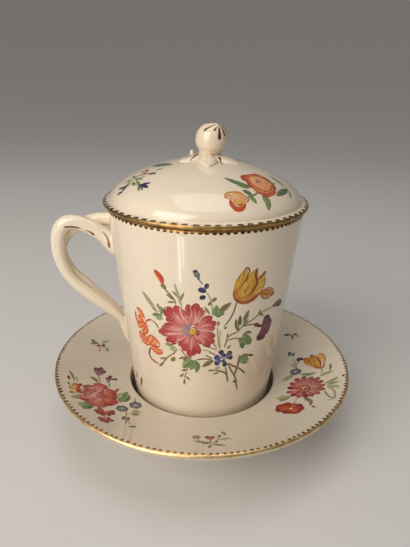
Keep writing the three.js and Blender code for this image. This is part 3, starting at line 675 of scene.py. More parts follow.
for *tip, wide, ink in (
    (45.6, -8.4, 2.7, "crimson"), (49.4, -8.4, 2.8, "dusty"), (52.8, -10.2, 2.8, "dusty"),
    (55.6, -12.4, 2.8, "dusty"), (56.6, -16, 2.8, "dusty"), (56.4, -20, 2.7, "dusty"),
    (55.6, -23.6, 2.7, "dusty"), (52.6, -26.2, 2.6, "dusty"), (49.4, -27, 2.5, "dusty"),
    (46.4, -26.6, 2.5, "garnet"), (43.2, -25.2, 2.5, "crimson"), (40.6, -22.8, 2.5, "garnet"),
    (39.2, -19.2, 2.5, "crimson"), (40.4, -15, 2.6, "garnet"), (42.4, -11.4, 2.7, "crimson"),
):
    right_bouquet.append(("petal", ink, wide, [towards(ROSE_HEART, tip, 0.18), tuple(tip)]))
right_bouquet += strokes("""
line garnet .9 44,-18.6 45.4,-16.4 48,-16.2 49.6,-18.2 49,-21 46.4,-22 44.4,-20.8 44,-18.8
dab rust 3.2 45.4,-20.4 48,-18; dab amber 1.8 46.2,-19.8 47.6,-18.2; dab umber .8 48,-19.8 48.6,-18.2
petal brick 4 38.4,-33 37.8,-30.2 37,-27.9; petal scarlet 4.2 38,-33 35.5,-31 33.2,-29.2
petal brick 4.4 38,-33.2 35.2,-32.8 32.1,-32.5; petal garnet 4.2 38.2,-33.6 36.4,-34.9 34.6,-35.8
petal brick 4 38.6,-33.8 37.9,-35.8 37.2,-37.6; petal scarlet 4.2 38.8,-33.8 39.7,-36.2 40.2,-38.7
petal brick 4.4 39.2,-33.6 41.4,-34.8 43.2,-36.4; petal garnet 4.4 39.2,-33.2 41.4,-32.8 43.7,-32.9
petal scarlet 3.9 39,-33 40.3,-31.4 41.3,-29.9; dab orange 1 35.4,-32.4 37.8,-33
dab orange 1 39.4,-32.6 41.4,-32; dab amber 1.6 38,-34 39.2,-33
""")
sprig_left = strokes("""
leaf sage 1.4 -49.6,21 -51.4,19.4 -53.2,18.6; leaf green 2.4 -55,15.6 -57,16.4 -58,18
leaf olive 1.4 -55.4,15 -57.2,14.6 -58.4,13.8; leaf sage 2.2 -50.2,14.6 -49.6,13 -49.4,11.4
leaf sage 1.4 -52.4,16.8 -51.6,18.6 -50.4,20; dab rust 1.9 -54.8,13.4 -53.4,15.2
dab scarlet 1.2 -55.4,15.4 -54.6,16.4; dab night 1.7 -52.4,15 -51.2,16.4
line olive .4 -53.4,13.4 -53,12 -52.8,10.2; dab rust 1 -53.2,11 -52.6,10.2
line olive .4 -53.4,15 -52.4,14.6 -50.6,14
""")
sprig_right = strokes("""
line olive .4 45,29.4 48,28.2 50.4,27.4 52.6,26; leaf moss 1.9 46,28.4 47.4,28.8 49,28.2
leaf olive 1.5 49.8,27.4 51,27.6 52.4,26.8; leaf moss 1.3 49.4,27.4 49.6,26 49.4,24.4
dab steel 1.4 46,29.2 47.2,29.6; dab mauve 1.2 51.6,27.6 52.2,28.4
leaf sage 1.2 52,26.4 52.8,25.4 53.4,24.4
""")
sprig_front = strokes("""
line stem .45 2.8,-54.6 3.2,-57 3,-59.4; line olive .4 3,-57 .6,-57 -1.4,-55.6 -2.2,-54.2
leaf green 1.9 1.2,-57 -1.2,-56.8 -3.8,-56; leaf moss 1.6 2.8,-57.4 1.2,-58.2 -.6,-58.4
leaf green 1.6 7.6,-47.6 8.6,-49.2 9.2,-51; leaf sage 1.9 6.6,-54.8 9,-54.2 11.6,-54
leaf green 2 3.4,-58.8 6.4,-60 8.8,-60.8; leaf olive 1.5 3,-59.6 2.6,-61.4 2,-63
line stem .4 4.4,-57.6 6,-54.6 6.8,-51; petal brick 2 3.2,-55 2,-53.2 2,-51.4
petal rust 1.9 3,-55 3.8,-53.2 4,-51.6; dab night 1.5 6.3,-52.2 7.1,-50.8
dab purple 1.3 4.6,-57.2 5.8,-56.4
""")
sprig_front += rays("dusty", -2.5, -52.5, 1.8, 6, 0, 1.3, "umber")
saucer_enamel = enamel("saucer_enamel")
for name, marks, seed in (
    ("saucer_bouquet_left", left_bouquet, 21), ("saucer_bouquet_right", right_bouquet, 22),
    ("saucer_bouquet_back", around(left_bouquet, -112), 23), ("saucer_sprig_left", sprig_left, 24),
    ("saucer_sprig_right", sprig_right, 25), ("saucer_sprig_front", sprig_front, 26),
):
    painting = paint(name, finished(marks), on_saucer, saucer_enamel, seed)
    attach(painting, "saucer")

# Cup. A tall beaker, thrown and turned, with a rounded foot corner and a low foot ring. The glaze is
# the same clear one, lighter than the saucer's, whose colour carries painted shade. Round teeth of gold
# hang from its lip, under the cover's brim.

CUP_FOOT_Z = 5.3
CUP_MOUTH_Z = 107.0
CUP_BASE_RADIUS = 31.82
CUP_MOUTH_RADIUS = 42.27
CUP_WALL = 2.6
CUP_FLOOR = 3.2
CUP_CORNER_ROUND = 11
CUP_INSIDE_ROUND = 9
CUP_FOOT_RADIUS = 27.5
CUP_FOOT_WIDTH = 2.8
CUP_FOOT_HEIGHT = 1.5
TEETH_ON_CUP = 102
CUP_TOOTH_TOP_Z = 106.7
CUP_TOOTH_TIP_Z = 105.4
CUP_MAP_RADIUS = 37 # the radius at which the wall's flat map is as long as the wall is round
LIP_MAP_ROUND = 1.3
WALL_STEPS = 60

flare = (CUP_MOUTH_RADIUS - CUP_BASE_RADIUS) / (CUP_MOUTH_Z - CUP_FOOT_Z)
slant = math.degrees(math.atan(flare))
across_wall = CUP_WALL / math.cos(math.radians(slant))


def cup_radius(z):
    return CUP_BASE_RADIUS + flare * (z - CUP_FOOT_Z)


def foot_corner(inset, rounding, level, turns, steps=24):
    radius = cup_radius(level + rounding) - inset - rounding / math.cos(math.radians(slant))
    return arc(radius, level + rounding, rounding, *turns, steps)


cup_under = CUP_FOOT_Z + CUP_FOOT_HEIGHT
foot_inner = CUP_FOOT_RADIUS - CUP_FOOT_WIDTH
corner_middle = cup_radius(cup_under + CUP_CORNER_ROUND) - CUP_CORNER_ROUND / math.cos(math.radians(slant))
foot_turn = math.degrees(math.acos((CUP_FOOT_RADIUS + 0.2 - corner_middle) / CUP_CORNER_ROUND))
lip_z = CUP_MOUTH_Z - CUP_WALL / 2 - 0.02
cup_lip = arc(cup_radius(lip_z) - CUP_WALL / 2, lip_z, CUP_WALL / 2, -slant, 180 - slant, 20)
cup_corner = foot_corner(0, CUP_CORNER_ROUND, cup_under, (-foot_turn, -slant), 20)
cup_profile = [
    (0, cup_under),
    (foot_inner - 2.4, cup_under),
    *corner((foot_inner - 1.6, cup_under), (foot_inner - 0.6, cup_under),
            (foot_inner - 0.15, CUP_FOOT_Z + 0.45), 6),
    *corner((foot_inner, CUP_FOOT_Z + 0.2), (foot_inner + 0.05, CUP_FOOT_Z),
            (foot_inner + 0.4, CUP_FOOT_Z), 5),
    *corner((CUP_FOOT_RADIUS - 0.4, CUP_FOOT_Z), (CUP_FOOT_RADIUS, CUP_FOOT_Z),
            (CUP_FOOT_RADIUS, CUP_FOOT_Z + 0.4), 5),
    *corner((CUP_FOOT_RADIUS, cup_corner[0][1] - 0.9), (CUP_FOOT_RADIUS, cup_corner[0][1] - 0.2),
            cup_corner[0], 5),
    *cup_corner[1:],
    *[(cup_radius(z), z) for z in np.linspace(cup_corner[-1][1], cup_lip[0][1], 40)[1:-1]],
    *cup_lip,
    *[(cup_radius(z) - across_wall, z) for z in np.linspace(cup_lip[-1][1], 22, 24)[1:]],
    *foot_corner(across_wall, CUP_INSIDE_ROUND, cup_under + CUP_FLOOR, (-slant, -90))[1:],
    (0, cup_under + CUP_FLOOR),
]
cup_glaze = glaze("cup_glaze", (236, 222, 200), (226, 210, 188))
cup = throw("cup_porcelain", cup_profile, cup_glaze)
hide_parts("cup_body")


def on_cup(x, z):
    """The cup's wall over a point of its unrolled map: x is the way round the wall, z the height."""
    turn = x / CUP_MAP_RADIUS
    radius = np.interp(z, wall_heights, wall_radii)
    normal = np.stack([np.sin(turn), -np.cos(turn), np.full_like(turn, -flare)], -1)
    spot = np.stack([radius * np.sin(turn), -radius * np.cos(turn), z], -1)
    return spot, normal / np.linalg.norm(normal, axis=-1, keepdims=True)


lip_turns = np.radians(range(10, 80, 10))
wall_heights = np.concatenate([np.linspace(16, lip_z, WALL_STEPS), lip_z + LIP_MAP_ROUND * np.sin(lip_turns)])
wall_radii = np.concatenate([cup_radius(wall_heights[:WALL_STEPS]),
                             cup_radius(lip_z) - LIP_MAP_ROUND + LIP_MAP_ROUND * np.cos(lip_turns)])
cup_lip_gold = gilt_band("cup_gilt_lip", cup_lip[3:18], brim_gold, seed=31)
rng = np.random.default_rng(8)
teeth = []
for tooth in range(TEETH_ON_CUP):
    x = 2 * math.pi * CUP_MAP_RADIUS * (tooth + rng.uniform(-0.06, 0.06)) / TEETH_ON_CUP
    teeth.append(("dab", "gold", rng.uniform(1.4, 1.65), [
        (x, CUP_TOOTH_TOP_Z), (x + rng.uniform(-0.1, 0.1), CUP_TOOTH_TIP_Z + rng.uniform(-0.12, 0.12))]))
cup_teeth = paint("cup_gilt_teeth", teeth, on_cup, tooth_gold, seed=9, lift=0.012, step=0.2)
for piece in (cup, cup_lip_gold, cup_teeth):
    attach(piece, "cup")

# The cup's painting. A loose bouquet fills the front: a crimson daisy, two orange flowers, a yellow
# tulip, blue bells and a purple one. A like bouquet is on the back, with one sprig on the bare side.

BOUQUET_Z = 60
DAISY_HEART = (-5.3, 64.6)

daisy = []
for *tip, wide, ink, bend in (
    (-13.2, 57.0, 2.6, "crimson", .3), (-15.8, 57.6, 2.8, "crimson", 0), (-18.5, 61.2, 4.2, "crimson", 0),
    (-17.4, 63.6, 3, "rose", .3), (-16.2, 65.4, 2.4, "crimson", .4), (-15.2, 68.4, 2.4, "crimson", -.3),
    (-15.8, 72.2, 4, "crimson", 0), (-14.4, 74.1, 3.2, "crimson", 0), (-11.2, 75.2, 3.4, "crimson", 0),
    (-9, 74, 3, "rose", .3), (-6.2, 76.5, 2.4, "crimson", 0), (-3, 77.2, 3.4, "crimson", 0),
    (-1.2, 75.4, 1.6, "rose", 0), (-.2, 74.2, 2.2, "rose", 0), (2.5, 71.4, 3.2, "crimson", 0),
    (4.4, 68.6, 3.2, "crimson", 0), (4, 66, 2.6, "rose", 0), (4.2, 62, 3, "crimson", 0),
    (4, 59, 3, "crimson", 0), (2.2, 57, 3, "crimson", 0), (-1, 58.4, 2, "rose", 0),
    (-2, 53.4, 2.8, "crimson", 0), (-4.2, 52.4, 2.6, "crimson", 0), (-5.8, 51.6, 3, "crimson", 0),
    (-8.4, 54.2, 2.8, "crimson", 0), (-9.9, 56.4, 2.8, "crimson", 0),
):
    x, z = towards(DAISY_HEART, tip, 0.6)
    daisy.append(("petal", ink, wide, [towards(DAISY_HEART, tip, 0.2), (x - bend, z + bend), tuple(tip)]))
daisy += strokes("""
streak rose .7 -7.8,67.2 -10.4,69.4 -12.6,71; streak rose .6 -8.4,62.6 -12,62 -15,61.4
streak rose .6 -4.8,60.6 -5,58 -5.4,55.4; streak rose .6 -3.6,68.4 -3.4,71.6 -3.2,74
streak rose .7 -1.4,66.8 1,67.2 3,67.6; streak rose .6 -1.2,62.6 .6,61 2.4,59.4
streak rose .5 -6.2,60.6 -7.2,58.6 -8.4,56.6; streak rose .6 -8.2,60.6 -10.6,59.4 -13,58.6
dab blush 1 -12.8,58.8 -12.2,59.6; edge rust .5 -15.9,71 -16,72.4 -14.8,74
edge rust .6 -18.6,60.4 -18.8,61.6 -17.8,62.8; edge rust .5 -16,56.8 -14,56.4 -11.6,57
edge rust .5 -9.9,55 -8.6,53.4 -6.6,51.2 -4.6,51.6; line blush .5 -15,67.2 -12.4,67 -9.8,66
line blush .55 -16,60.6 -12,61.7 -8,63; line blush .6 -11.6,57.6 -9.4,59.8 -6.6,62.2
line blush .5 .2,58.2 -.9,60.2 -2,62.2; line blush .5 3.6,64.4 1.4,64.5 -1.2,64.6
line blush .9 -9.4,74.4 -8.9,72 -7.9,69; line blush .5 -5.3,76 -5,73 -4.9,69.4
line blush .5 .4,74.2 -1.4,71 -2.6,68.6; line blush .5 -12.4,72.6 -10.4,70.2 -8.6,68
line garnet .4 -16.4,71.4 -14,69.8 -11.4,68.4; line garnet .4 -14.4,73.4 -12.4,71.4 -10.4,69
line garnet .4 -17.6,61.8 -14.6,62.6 -11.4,63.6; line garnet .4 -4,53.8 -3.8,56.6 -4.2,59.6
line garnet .4 -6.4,53 -5.8,56 -5.6,59; line garnet .4 3.6,58.4 1.4,60.4 -.8,62
line garnet .4 4.2,67.8 1.6,67 -.8,66.2; line garnet .4 -2.6,76.2 -3,73 -3.5,70
line garnet .4 -6,75.4 -6,73 -5.8,70.4; dab mist 3.8 -9.6,64.4 -5.4,66.2; dab mist 3 -8.4,62.6 -4.6,62.2
dab mist 2.6 -7.4,64 -5.6,65.4; dab mist 1.8 -6.8,66.2 -4.8,68; dab purple 1.7 -4,68 -1.7,67
dab mist 1.6 -7.8,62.4 -5.8,61.4; dab olive 1.5 -6.8,65 -5.8,66
streak mist .5 -6.2,61.8 -6.6,59.6 -7.2,57.6; dab yellow 2.8 -5.6,63.2 -3.4,64.9
line plum .8 -2.4,65 -2.1,63.4 -3,61.8
line umber .5 -5.9,63.2 -4.8,62.3 -3.2,62.9 -2.8,64.4 -3.6,65.9 -5.2,66; dab olive 1 -4.7,63.7 -3.9,64.5
""")
tulip = strokes("""
line plumstem .6 11.7,77.2 11,73.4 9.6,69.6 7.3,66; dab moss 1 7.5,65.3 8.7,66
dab yellow 7.6 11.9,79.8 15.6,80.6 19.6,80.4; dab ochre 5.6 12.2,78.6 15.6,78.4 19,79.4
leaf yellow 4 12,77.6 12.1,83 12.9,87.6 14.6,91.9; leaf yellow 4.4 13.4,77.4 12.8,84 14.4,91.4
leaf yellow 5.8 14.8,77 15.6,84 18.5,90.6; leaf yellow 4.4 17.4,77.8 18.2,84.4 18.6,90
leaf yellow 4 17.4,78 20.4,82.4 22.4,88.3; leaf yellow 3.4 18.6,79.4 20.2,84.6 22.1,87.8
leaf ochre 1.8 11.2,83.6 11.7,79.8 14.6,77.1; leaf rust 1.9 11,79.8 13,77.1 16.6,76.6
leaf rust 2.2 14.4,76.8 18.2,77.2 21.4,79.6; leaf amber .8 12.4,80.6 14,83.8 15.6,87
leaf ochre 1.2 16.8,80.4 18.6,84 18.6,88
line rust .8 10.3,83.2 10.3,80.6 11.1,78.2 13.2,76.5 16.2,76 19.2,77.2 21.6,79.4
line rust .4 11,85.4 11.8,88 13,90.2; line umber .8 15.2,88.2 13.8,85.4 12.2,83 11.1,80.2
line umber .5 14.4,92 13.3,90 13.5,87.8; line umber .5 14.4,92 15.5,90.2 14.8,88.2 15.2,86.6
leaf olive 1.3 16,84.2 15,82.2 13.9,80.2; line umber .9 18.7,90.8 18.3,87.6 19.4,84.4 18.2,81.4 16,78.9
line umber 1 20,85.4 21,86.8 22.8,88.6; line umber .7 19.8,85 20.1,82.6 19.4,80.6
line ochre .7 22.6,86 22.9,82.8 21.5,79.8; leaf ochre 4 20.8,79.3 25.4,78 29.5,76.7
line umber .7 21.2,79.2 24.6,77.9 26.8,76.9; line umber .5 22.2,78 24,75.9 27.8,75.6
line rust .5 21.4,79.8 25.4,80.4 28.2,79 29.2,77.4; dab umber 1.8 27.3,76.4 29.5,77.1
""")
bells = strokes("""
line slate .5 -2.3,87.4 -1.6,86.4 -1,85.6; line sage .5 .3,82.4 1.6,79.8 2.4,77 2.7,74 2.8,71
dab slate 2 -3.8,91.2 -2.5,88.2; dab night 1.8 -3.9,91.5 -3.4,90.3; dab night .8 -2.7,88.4 -2.3,87.4
dab night 2.3 -2.6,83.6 .2,82.4; dab blue 1.1 -1.6,83.6 -.2,82.8; dab night 1.7 .1,83.6 .6,86
dab night 2 -2,79.2 0,80.6; dab slate .8 .4,84 .6,85.4; dab olive 1.3 1.2,76.3 2.3,78.3
dab olive 1.5 2.4,77.9 3.9,79.9; leaf olive 1 -.2,75.9 .7,74.2 1.9,72.2
leaf olive 1 5.2,69.2 5.2,68 5.1,66.6
""")
orange_left = strokes("""
line orange .9 -25.4,63.8 -24,65.1 -22,65.9; line olive .7 -21.8,65.7 -20.2,64.8 -18.6,62.6
line plumstem .9 -24.3,51.4 -25.4,48 -24.2,45.5 -20.4,44.4
line olive .6 -20.6,44 -18.4,45.6 -15.4,49.6 -12.4,52.4 -10.9,54.8
leaf olive 1.2 -20.2,43.2 -18.8,44.8 -17.5,46.2; leaf olive 1 -19.6,47.7 -17.6,48.2 -15.6,49.2
leaf olive 2 -14.1,48 -13,49 -12.2,50.4; leaf sage 1.8 -16.6,55.9 -13.4,55.4 -11,54.2
leaf sage 1.4 -14.6,54 -13,53.8 -11.6,53; dab apricot 3 -28.7,67.8 -26.9,65
dab apricot 4.6 -30.7,63.6 -26.3,62.6; dab apricot 3.2 -30.3,60 -26.3,61.4
dab apricot 3.6 -26.9,57.4 -25.5,61.4; line orange .9 -30.2,69 -28.7,67.4 -28.2,65.8 -28.7,64.4
line orange .9 -30.2,69 -27.9,68.6 -26.5,66.8 -25.9,64.6
line orange 1 -31,66.8 -31.7,64.6 -31.1,62 -28.9,61.2
line orange .8 -30.7,64.6 -29.1,65 -27.9,63.9 -26.3,63.6
line orange .9 -31.3,59.9 -29.7,59.4 -27.5,60.8 -25.9,62.4
line orange .9 -31.1,60 -30.3,61.8 -28.1,62.6 -26.1,62.8; line orange .8 -29.3,63 -27.7,62.4 -26.1,63.2
line orange 1 -25.7,63.6 -25,61 -25.7,58.4 -27.4,57.6 -28.9,58.6
line orange .8 -28.2,57.8 -26.9,59.6 -26.1,61.6; dab orange 1.4 -26.2,62.2 -25.2,63.4
dab apricot 4.4 -23.9,54 -20.7,55.8; dab apricot 3.8 -29.7,55 -25.3,53.6
dab apricot 2.8 -23.1,51.8 -18.7,51; dab apricot 2.4 -29.3,56.8 -28.5,54.4
line orange 1 -24.9,53.6 -25,56.2 -23.5,57.7 -21.4,57.3 -19.7,55.8 -18.9,54.2
line orange .9 -24.7,54 -22.7,53 -20.7,53 -18.9,54; line orange .8 -24.3,54 -22.9,55 -22.1,56.6
line orange .9 -25.3,55.2 -27.1,56.6 -28.9,56.6 -30,57.8
line orange .9 -30.2,57.6 -30.1,54.6 -28.5,52.8 -25.9,52.2 -24.3,53.2
line orange .8 -29.1,56 -27.7,54.6 -25.5,54
line orange 1 -24.5,52 -22.5,50.5 -20.3,49.8 -18.3,50.8 -18.1,52.2
line orange .8 -23.7,52.6 -21.3,52.4 -19.3,52 -18.1,52.4; dab orange 1.5 -24.9,52.8 -23.6,53.6
""")
orange_bud = strokes("""
line olive .7 -15.2,82.4 -13.7,80.6 -12.2,79 -11.3,77.4 -10.7,75.2
dab scarlet 2.3 -15.5,83.8 -16.4,86.6 -18.6,89.3; dab orange 1.4 -16.6,85.6 -18.3,88.4
line amber .4 -16.6,84.6 -18,86.6 -19,88.2; leaf olive 2 -16.6,83 -15.4,83 -14.6,81.4
leaf olive 1.2 -12.2,78.3 -13.2,79.2 -14.6,79.6; leaf olive 1.2 -11.4,76.6 -12.6,76.6 -14.2,76
leaf olive 1 -11,77.6 -12,78.2 -13.2,78.2; leaf sage 1.2 -11.1,85.2 -10,80.6 -8.5,74
leaf olive .9 -12,81.6 -11,80.4 -9.6,78.8; leaf olive 1 -7.6,81.4 -8.4,79.8 -9,77.4
leaf sage 2.1 -25.4,78.2 -22.6,74.8 -18.6,70.4; leaf olive .8 -25.6,78.2 -23.4,76.4 -20.2,73.6
leaf olive .8 -21.6,72.4 -20,71 -18.4,70.6; leaf olive 1.3 -18.6,74.6 -18.2,73.2 -17.8,71.8
leaf green 2 -17,73.6 -17,71.6 -17.2,69.4; leaf green 2.2 -21.4,68.5 -19.4,69 -16.6,69.2
leaf sage 1.8 -20,67.8 -18,67.6 -16.4,68.4
""")
right_branch = strokes("""
line sage .6 4.9,66.4 5.4,61 6.2,55.4; line sage .5 6.3,65 6.1,60 6.7,55.4
line olive .6 9.2,63.2 9.1,60 8.2,56; line olive .7 9,60.8 11,62.2 13.6,63
line olive .6 9.2,59.4 12,60.1 15,59.4; line stem .4 3.6,59.2 4.2,57.8 5.2,56
line plumstem .4 -.6,57.6 2.4,56.6 5.6,55; line olive .6 13.6,63 15.4,65.4 20,67.6 24,69.5 31,70.3
leaf olive 1.8 13.9,63 12.7,66.2 12,69.5; leaf moss 1.8 14.2,65.8 13.9,68.2 13.7,70.8
leaf olive 2.1 15.8,66.8 16.4,69.6 17.3,72.6; leaf olive 1.3 15.2,65.4 16.4,66.8 17.8,68
leaf moss 1.2 22.2,68.6 22.8,69.8 23.3,71.2; leaf olive 1.2 22.8,69.2 24,68.4 25.4,67.8
petal plum 3 30,70.4 33.8,70.7 37.6,68.8; petal plum 1.6 30.4,70 33.6,69.6 36.4,68.6
line olive .7 15,65.3 18,65.3 21,64.9; leaf umber 1.9 20.6,65 22.4,64 24,62.8
line plum 1.2 23,63.6 24.6,62.8 26,62.4; petal plum 4.6 25.4,62 27,64.2 28.7,66.6
petal purple 5 25.6,61.8 28.6,62 31.4,62.8; petal plum 4.8 25.6,61.6 28.2,59.6 29.8,57.4
petal plum 4.4 25.8,62 25.8,58.8 24.6,55.6; petal plum 3.2 26,61 27,58.2 27.2,55.4
line mauve .6 30.4,63.6 30.2,60.8 28.6,58.2; line plum .5 31.4,63.4 31.2,60.6 29,57.4
dab mauve 1 27,56 27.8,57; leaf green 4.8 14,58.8 17.6,57.9 21,56.4
leaf olive 1.7 15.8,60.4 18,61.7 20.2,60.9; leaf moss 2.6 15.8,57.6 16.2,55.8 16.6,54
leaf moss 1.8 17.4,57.4 19.2,56 20.8,55.8; dab green 2.6 15.4,59.6 19,59.4
leaf green 2.8 5,71 4.2,73.8 4.2,76.6; leaf olive 2.7 5.4,73.4 7.4,75.2 9.6,77.2
dab green 3.6 3.8,72.4 7.2,73.6; dab moss 1.6 4,71.6 6,71.8; dab moss 1 6.2,72.8 6.6,74.6
""")
low_sprays = strokes("""
line sage .5 -.8,55.5 1,55.1 3,54.4; line umber .5 2.2,54.2 3.6,53.6 4.8,52.8
line olive .6 .6,52.8 2,52 3.6,50.8; line plumstem .6 -3,50.3 0,50.9 3.4,50.5
leaf olive 2.3 4.2,50.2 1.9,48.8 -.6,46.7; leaf olive 1 1.8,44.8 3.4,44.9 5,44.8
dab sage 1.3 4.8,45.8 7,46.2; line olive .9 4.8,45 8.4,43.7 10.3,41.8 10.9,37.8
leaf stem 1 4.2,43 5.4,43.4 6.6,43.3; line olive .7 9.3,46.4 10.1,43.4 10.8,40 11.3,37.8
line olive .9 10.6,47.2 12.2,43.8 13.9,41 15,38 16.4,31.8; dab umber 1.2 13.8,38.1 15.2,36.6
line plumstem .8 10.4,48 12.8,46.1 15.4,44.6; line olive .9 15.2,44.8 17.4,42.6 19.6,40.2
line olive 1.1 15.6,51 15.3,47 14.7,44 14,40.6; leaf green 4.2 15,48.6 17.6,48.3 20.4,46.9
leaf olive 1.8 15.8,50 18,50.2 20.4,49.8; leaf umber 1.2 19.4,49.9 21.2,49.4 23,48.4
leaf moss 1.8 16.4,47.4 18.4,46.6 20.2,46; line olive .9 -10.4,49.8 -8.4,50.9 -5,50.9
leaf green 4.2 -4.8,50.2 -7,47.8 -8.8,45.4; leaf green 3 -4.8,50.2 -4.8,47.4 -5.6,44.8
leaf green 2.9 -3.8,50.2 -2.8,47 -3,43.6; leaf moss 1.4 -5,50 -5.6,48.4 -6.4,47
leaf olive 1.3 -9.6,43.9 -8,44.4 -6.2,45.3; leaf olive 1.1 -10.4,40.4 -9.4,41.4 -8.4,42.6
leaf stem 1 -8.5,36.6 -8.3,38.2 -8.2,40; leaf stem 1.1 -7.7,41.2 -6.8,40.4 -5.7,39.4
line stem .4 -8.2,40 -7.8,42 -7,44; leaf mauve 1.6 -42.4,31 -40.4,29.6 -38.4,28.2
leaf olive 2.2 -34.2,31 -35.4,27.8 -37,24.4; leaf plumstem 1 -39.6,28.6 -41,27.6 -42.6,27.4
leaf olive 1.6 -8.8,49.6 -7.8,49.8 -6.4,49.6; leaf olive 1.2 9.6,55.4 10.4,56.2 11,57
petal night 2.3 7.9,51.8 7.4,53.2 6.9,54.9; petal steel 2.4 9,51.4 10.2,52.4 11.4,53.8
petal night 2.3 9.4,50.7 10.8,50.7 12.2,50.5; petal night 2.4 8.8,49.6 8.9,48.2 9.4,46.6
petal blue 2.7 7.4,49.9 6.2,49 4.7,48.2; petal blue 2.6 7.2,51 6,51.4 4.5,51.9; dab blue 1.2 5.6,50 6.8,50.4
dab blue 2 7.2,52.4 9.6,52; dab steel 1.6 9.2,49.4 7.4,49.4; dab sage 2.3 7.9,50.3 8.7,51.3
dab yellow 1.1 8,50.6 8.6,51.1
""")


def shifted(marks, dx, dy, grow=1.0, mirror=False):
    """The same marks laid elsewhere on a wall: grown about the bouquet's height, mirrored and moved."""
    flip = -1 if mirror else 1
    placed = []
    for kind, ink, width, path in marks:
        moved = [(flip * x * grow + dx, (z - BOUQUET_Z) * grow + BOUQUET_Z + dy) for x, z in path]
        placed.append((kind, ink, width * grow, moved))
    return placed


cup_enamel = enamel("cup_enamel")
behind = math.pi * CUP_MAP_RADIUS
for name, marks, seed in (
    ("cup_daisy", daisy, 41), ("cup_tulip", tulip, 42), ("cup_bells", bells, 43),
    ("cup_orange_flowers", orange_left, 44), ("cup_orange_bud", orange_bud, 45),
    ("cup_right_branch", right_branch, 46), ("cup_low_sprays", low_sprays, 47),
    ("cup_back_bouquet", shifted(right_branch + low_sprays[:14] + daisy, behind, 0, 1.0, True), 48),
    ("cup_back_flowers", shifted(tulip + orange_left + orange_bud, behind, -1, 0.95, True), 49),
    ("cup_side_sprig", shifted(sprig_front, 62, 106), 50),
):
    painting = paint(name, finished(marks), on_cup, cup_enamel, seed)
    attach(painting, "cup")

# Handle. Two pulled rolls of clay are laid together, crossed below the mouth and luted to the wall, so
# that a soft groove runs between them. A few strokes of gold mark where they fork.

HANDLE_TOP_DROP = 6.8
HANDLE_HEIGHT = 64.6
HANDLE_REACH = 28.9
STRAND_WIDTH = 6.2
STRAND_THICKNESS = 5.4
STRAND_SPREAD = 1.8
HANDLE_SINK = 1.2
PAD_RINGS = 9
PAD_SINK = 0.8
PAD_RISE = 1.9
# Where clay swells at the wall: its height, its place across, and half its height and width
PADS = [(88.3, -2.5, 6.2, 5.0), (98.0, 2.3, 4.4, 4.0), (45.5, -0.4, 9.0, 2.2)]
# A roll's stations: how far out and up, as shares of the handle, how far across, and how full it is
FRONT_STRAND = [
    (0.02, 0.02, -0.3, 0.14), (0.045, 0.125, -0.4, 0.34), (0.08, 0.22, -0.5, 0.54),
    (0.21, 0.295, -0.7, 0.76), (0.52, 0.43, -0.9, 0.92), (0.73, 0.53, -1.0, 0.86),
    (0.83, 0.615, -1.0, 0.88), (0.87, 0.75, -1.0, 0.99), (0.79, 0.90, -1.0, 1.10),
    (0.67, 0.952, -1.0, 1.10), (0.52, 0.959, -1.0, 1.07), (0.335, 0.931, -1.1, 1.07),
    (0.11, 0.868, -1.3, 1.20), (0.01, 0.822, -1.4, 1.42), (-0.07, 0.79, -1.4, 1.50),
]
BACK_STRAND = [
    (0.055, 0.08, 0.2, 0.24), (0.09, 0.205, 0.4, 0.47), (0.18, 0.30, 0.7, 0.68),
    (0.38, 0.393, 0.9, 0.82), (0.68, 0.533, 1.0, 0.84), (0.80, 0.604, 1.0, 0.85),
    (0.868, 0.70, 1.0, 0.87), (0.86, 0.775, 1.0, 0.89), (0.755, 0.845, 1.0, 0.90),
    (0.56, 0.914, 1.0, 0.92), (0.30, 0.960, 1.1, 0.94), (0.12, 0.967, 1.3, 0.98),
    (-0.07, 0.967, 1.3, 1.02),
]
GROOVE_FILL = [
    (0.035, 0.05, 0, 0.3), (0.07, 0.15, 0, 0.48), (0.09, 0.22, 0, 0.58), (0.21, 0.297, 0, 0.8),
    (0.45, 0.41, 0, 0.92), (0.6, 0.48, 0, 0.74), (0.72, 0.54, 0, 0.45),
]


def curve_through(knots, per_span=12):
    """A smooth line through points in space, close to them even where they lie unevenly."""
    knots = np.array(knots, float)
    padded = np.vstack([2 * knots[0] - knots[1], knots, 2 * knots[-1] - knots[-2]])
    line = []
    for span in range(len(knots) - 1):
        p = padded[span:span + 4]
        t = np.concatenate([[0], np.cumsum(np.linalg.norm(np.diff(p, axis=0), axis=1) ** 0.5)])
        for at in np.linspace(t[1], t[2], per_span, endpoint=span == len(knots) - 2):
            q = [((t[k + 1] - at) * p[k] + (at - t[k]) * p[k + 1]) / (t[k + 1] - t[k]) for k in range(3)]
            r = [((t[k + 2] - at) * q[k] + (at - t[k]) * q[k + 1]) / (t[k + 2] - t[k]) for k in range(2)]
            line.append(((t[2] - at) * r[0] + (at - t[1]) * r[1]) / (t[2] - t[1]))
    return np.array(line)


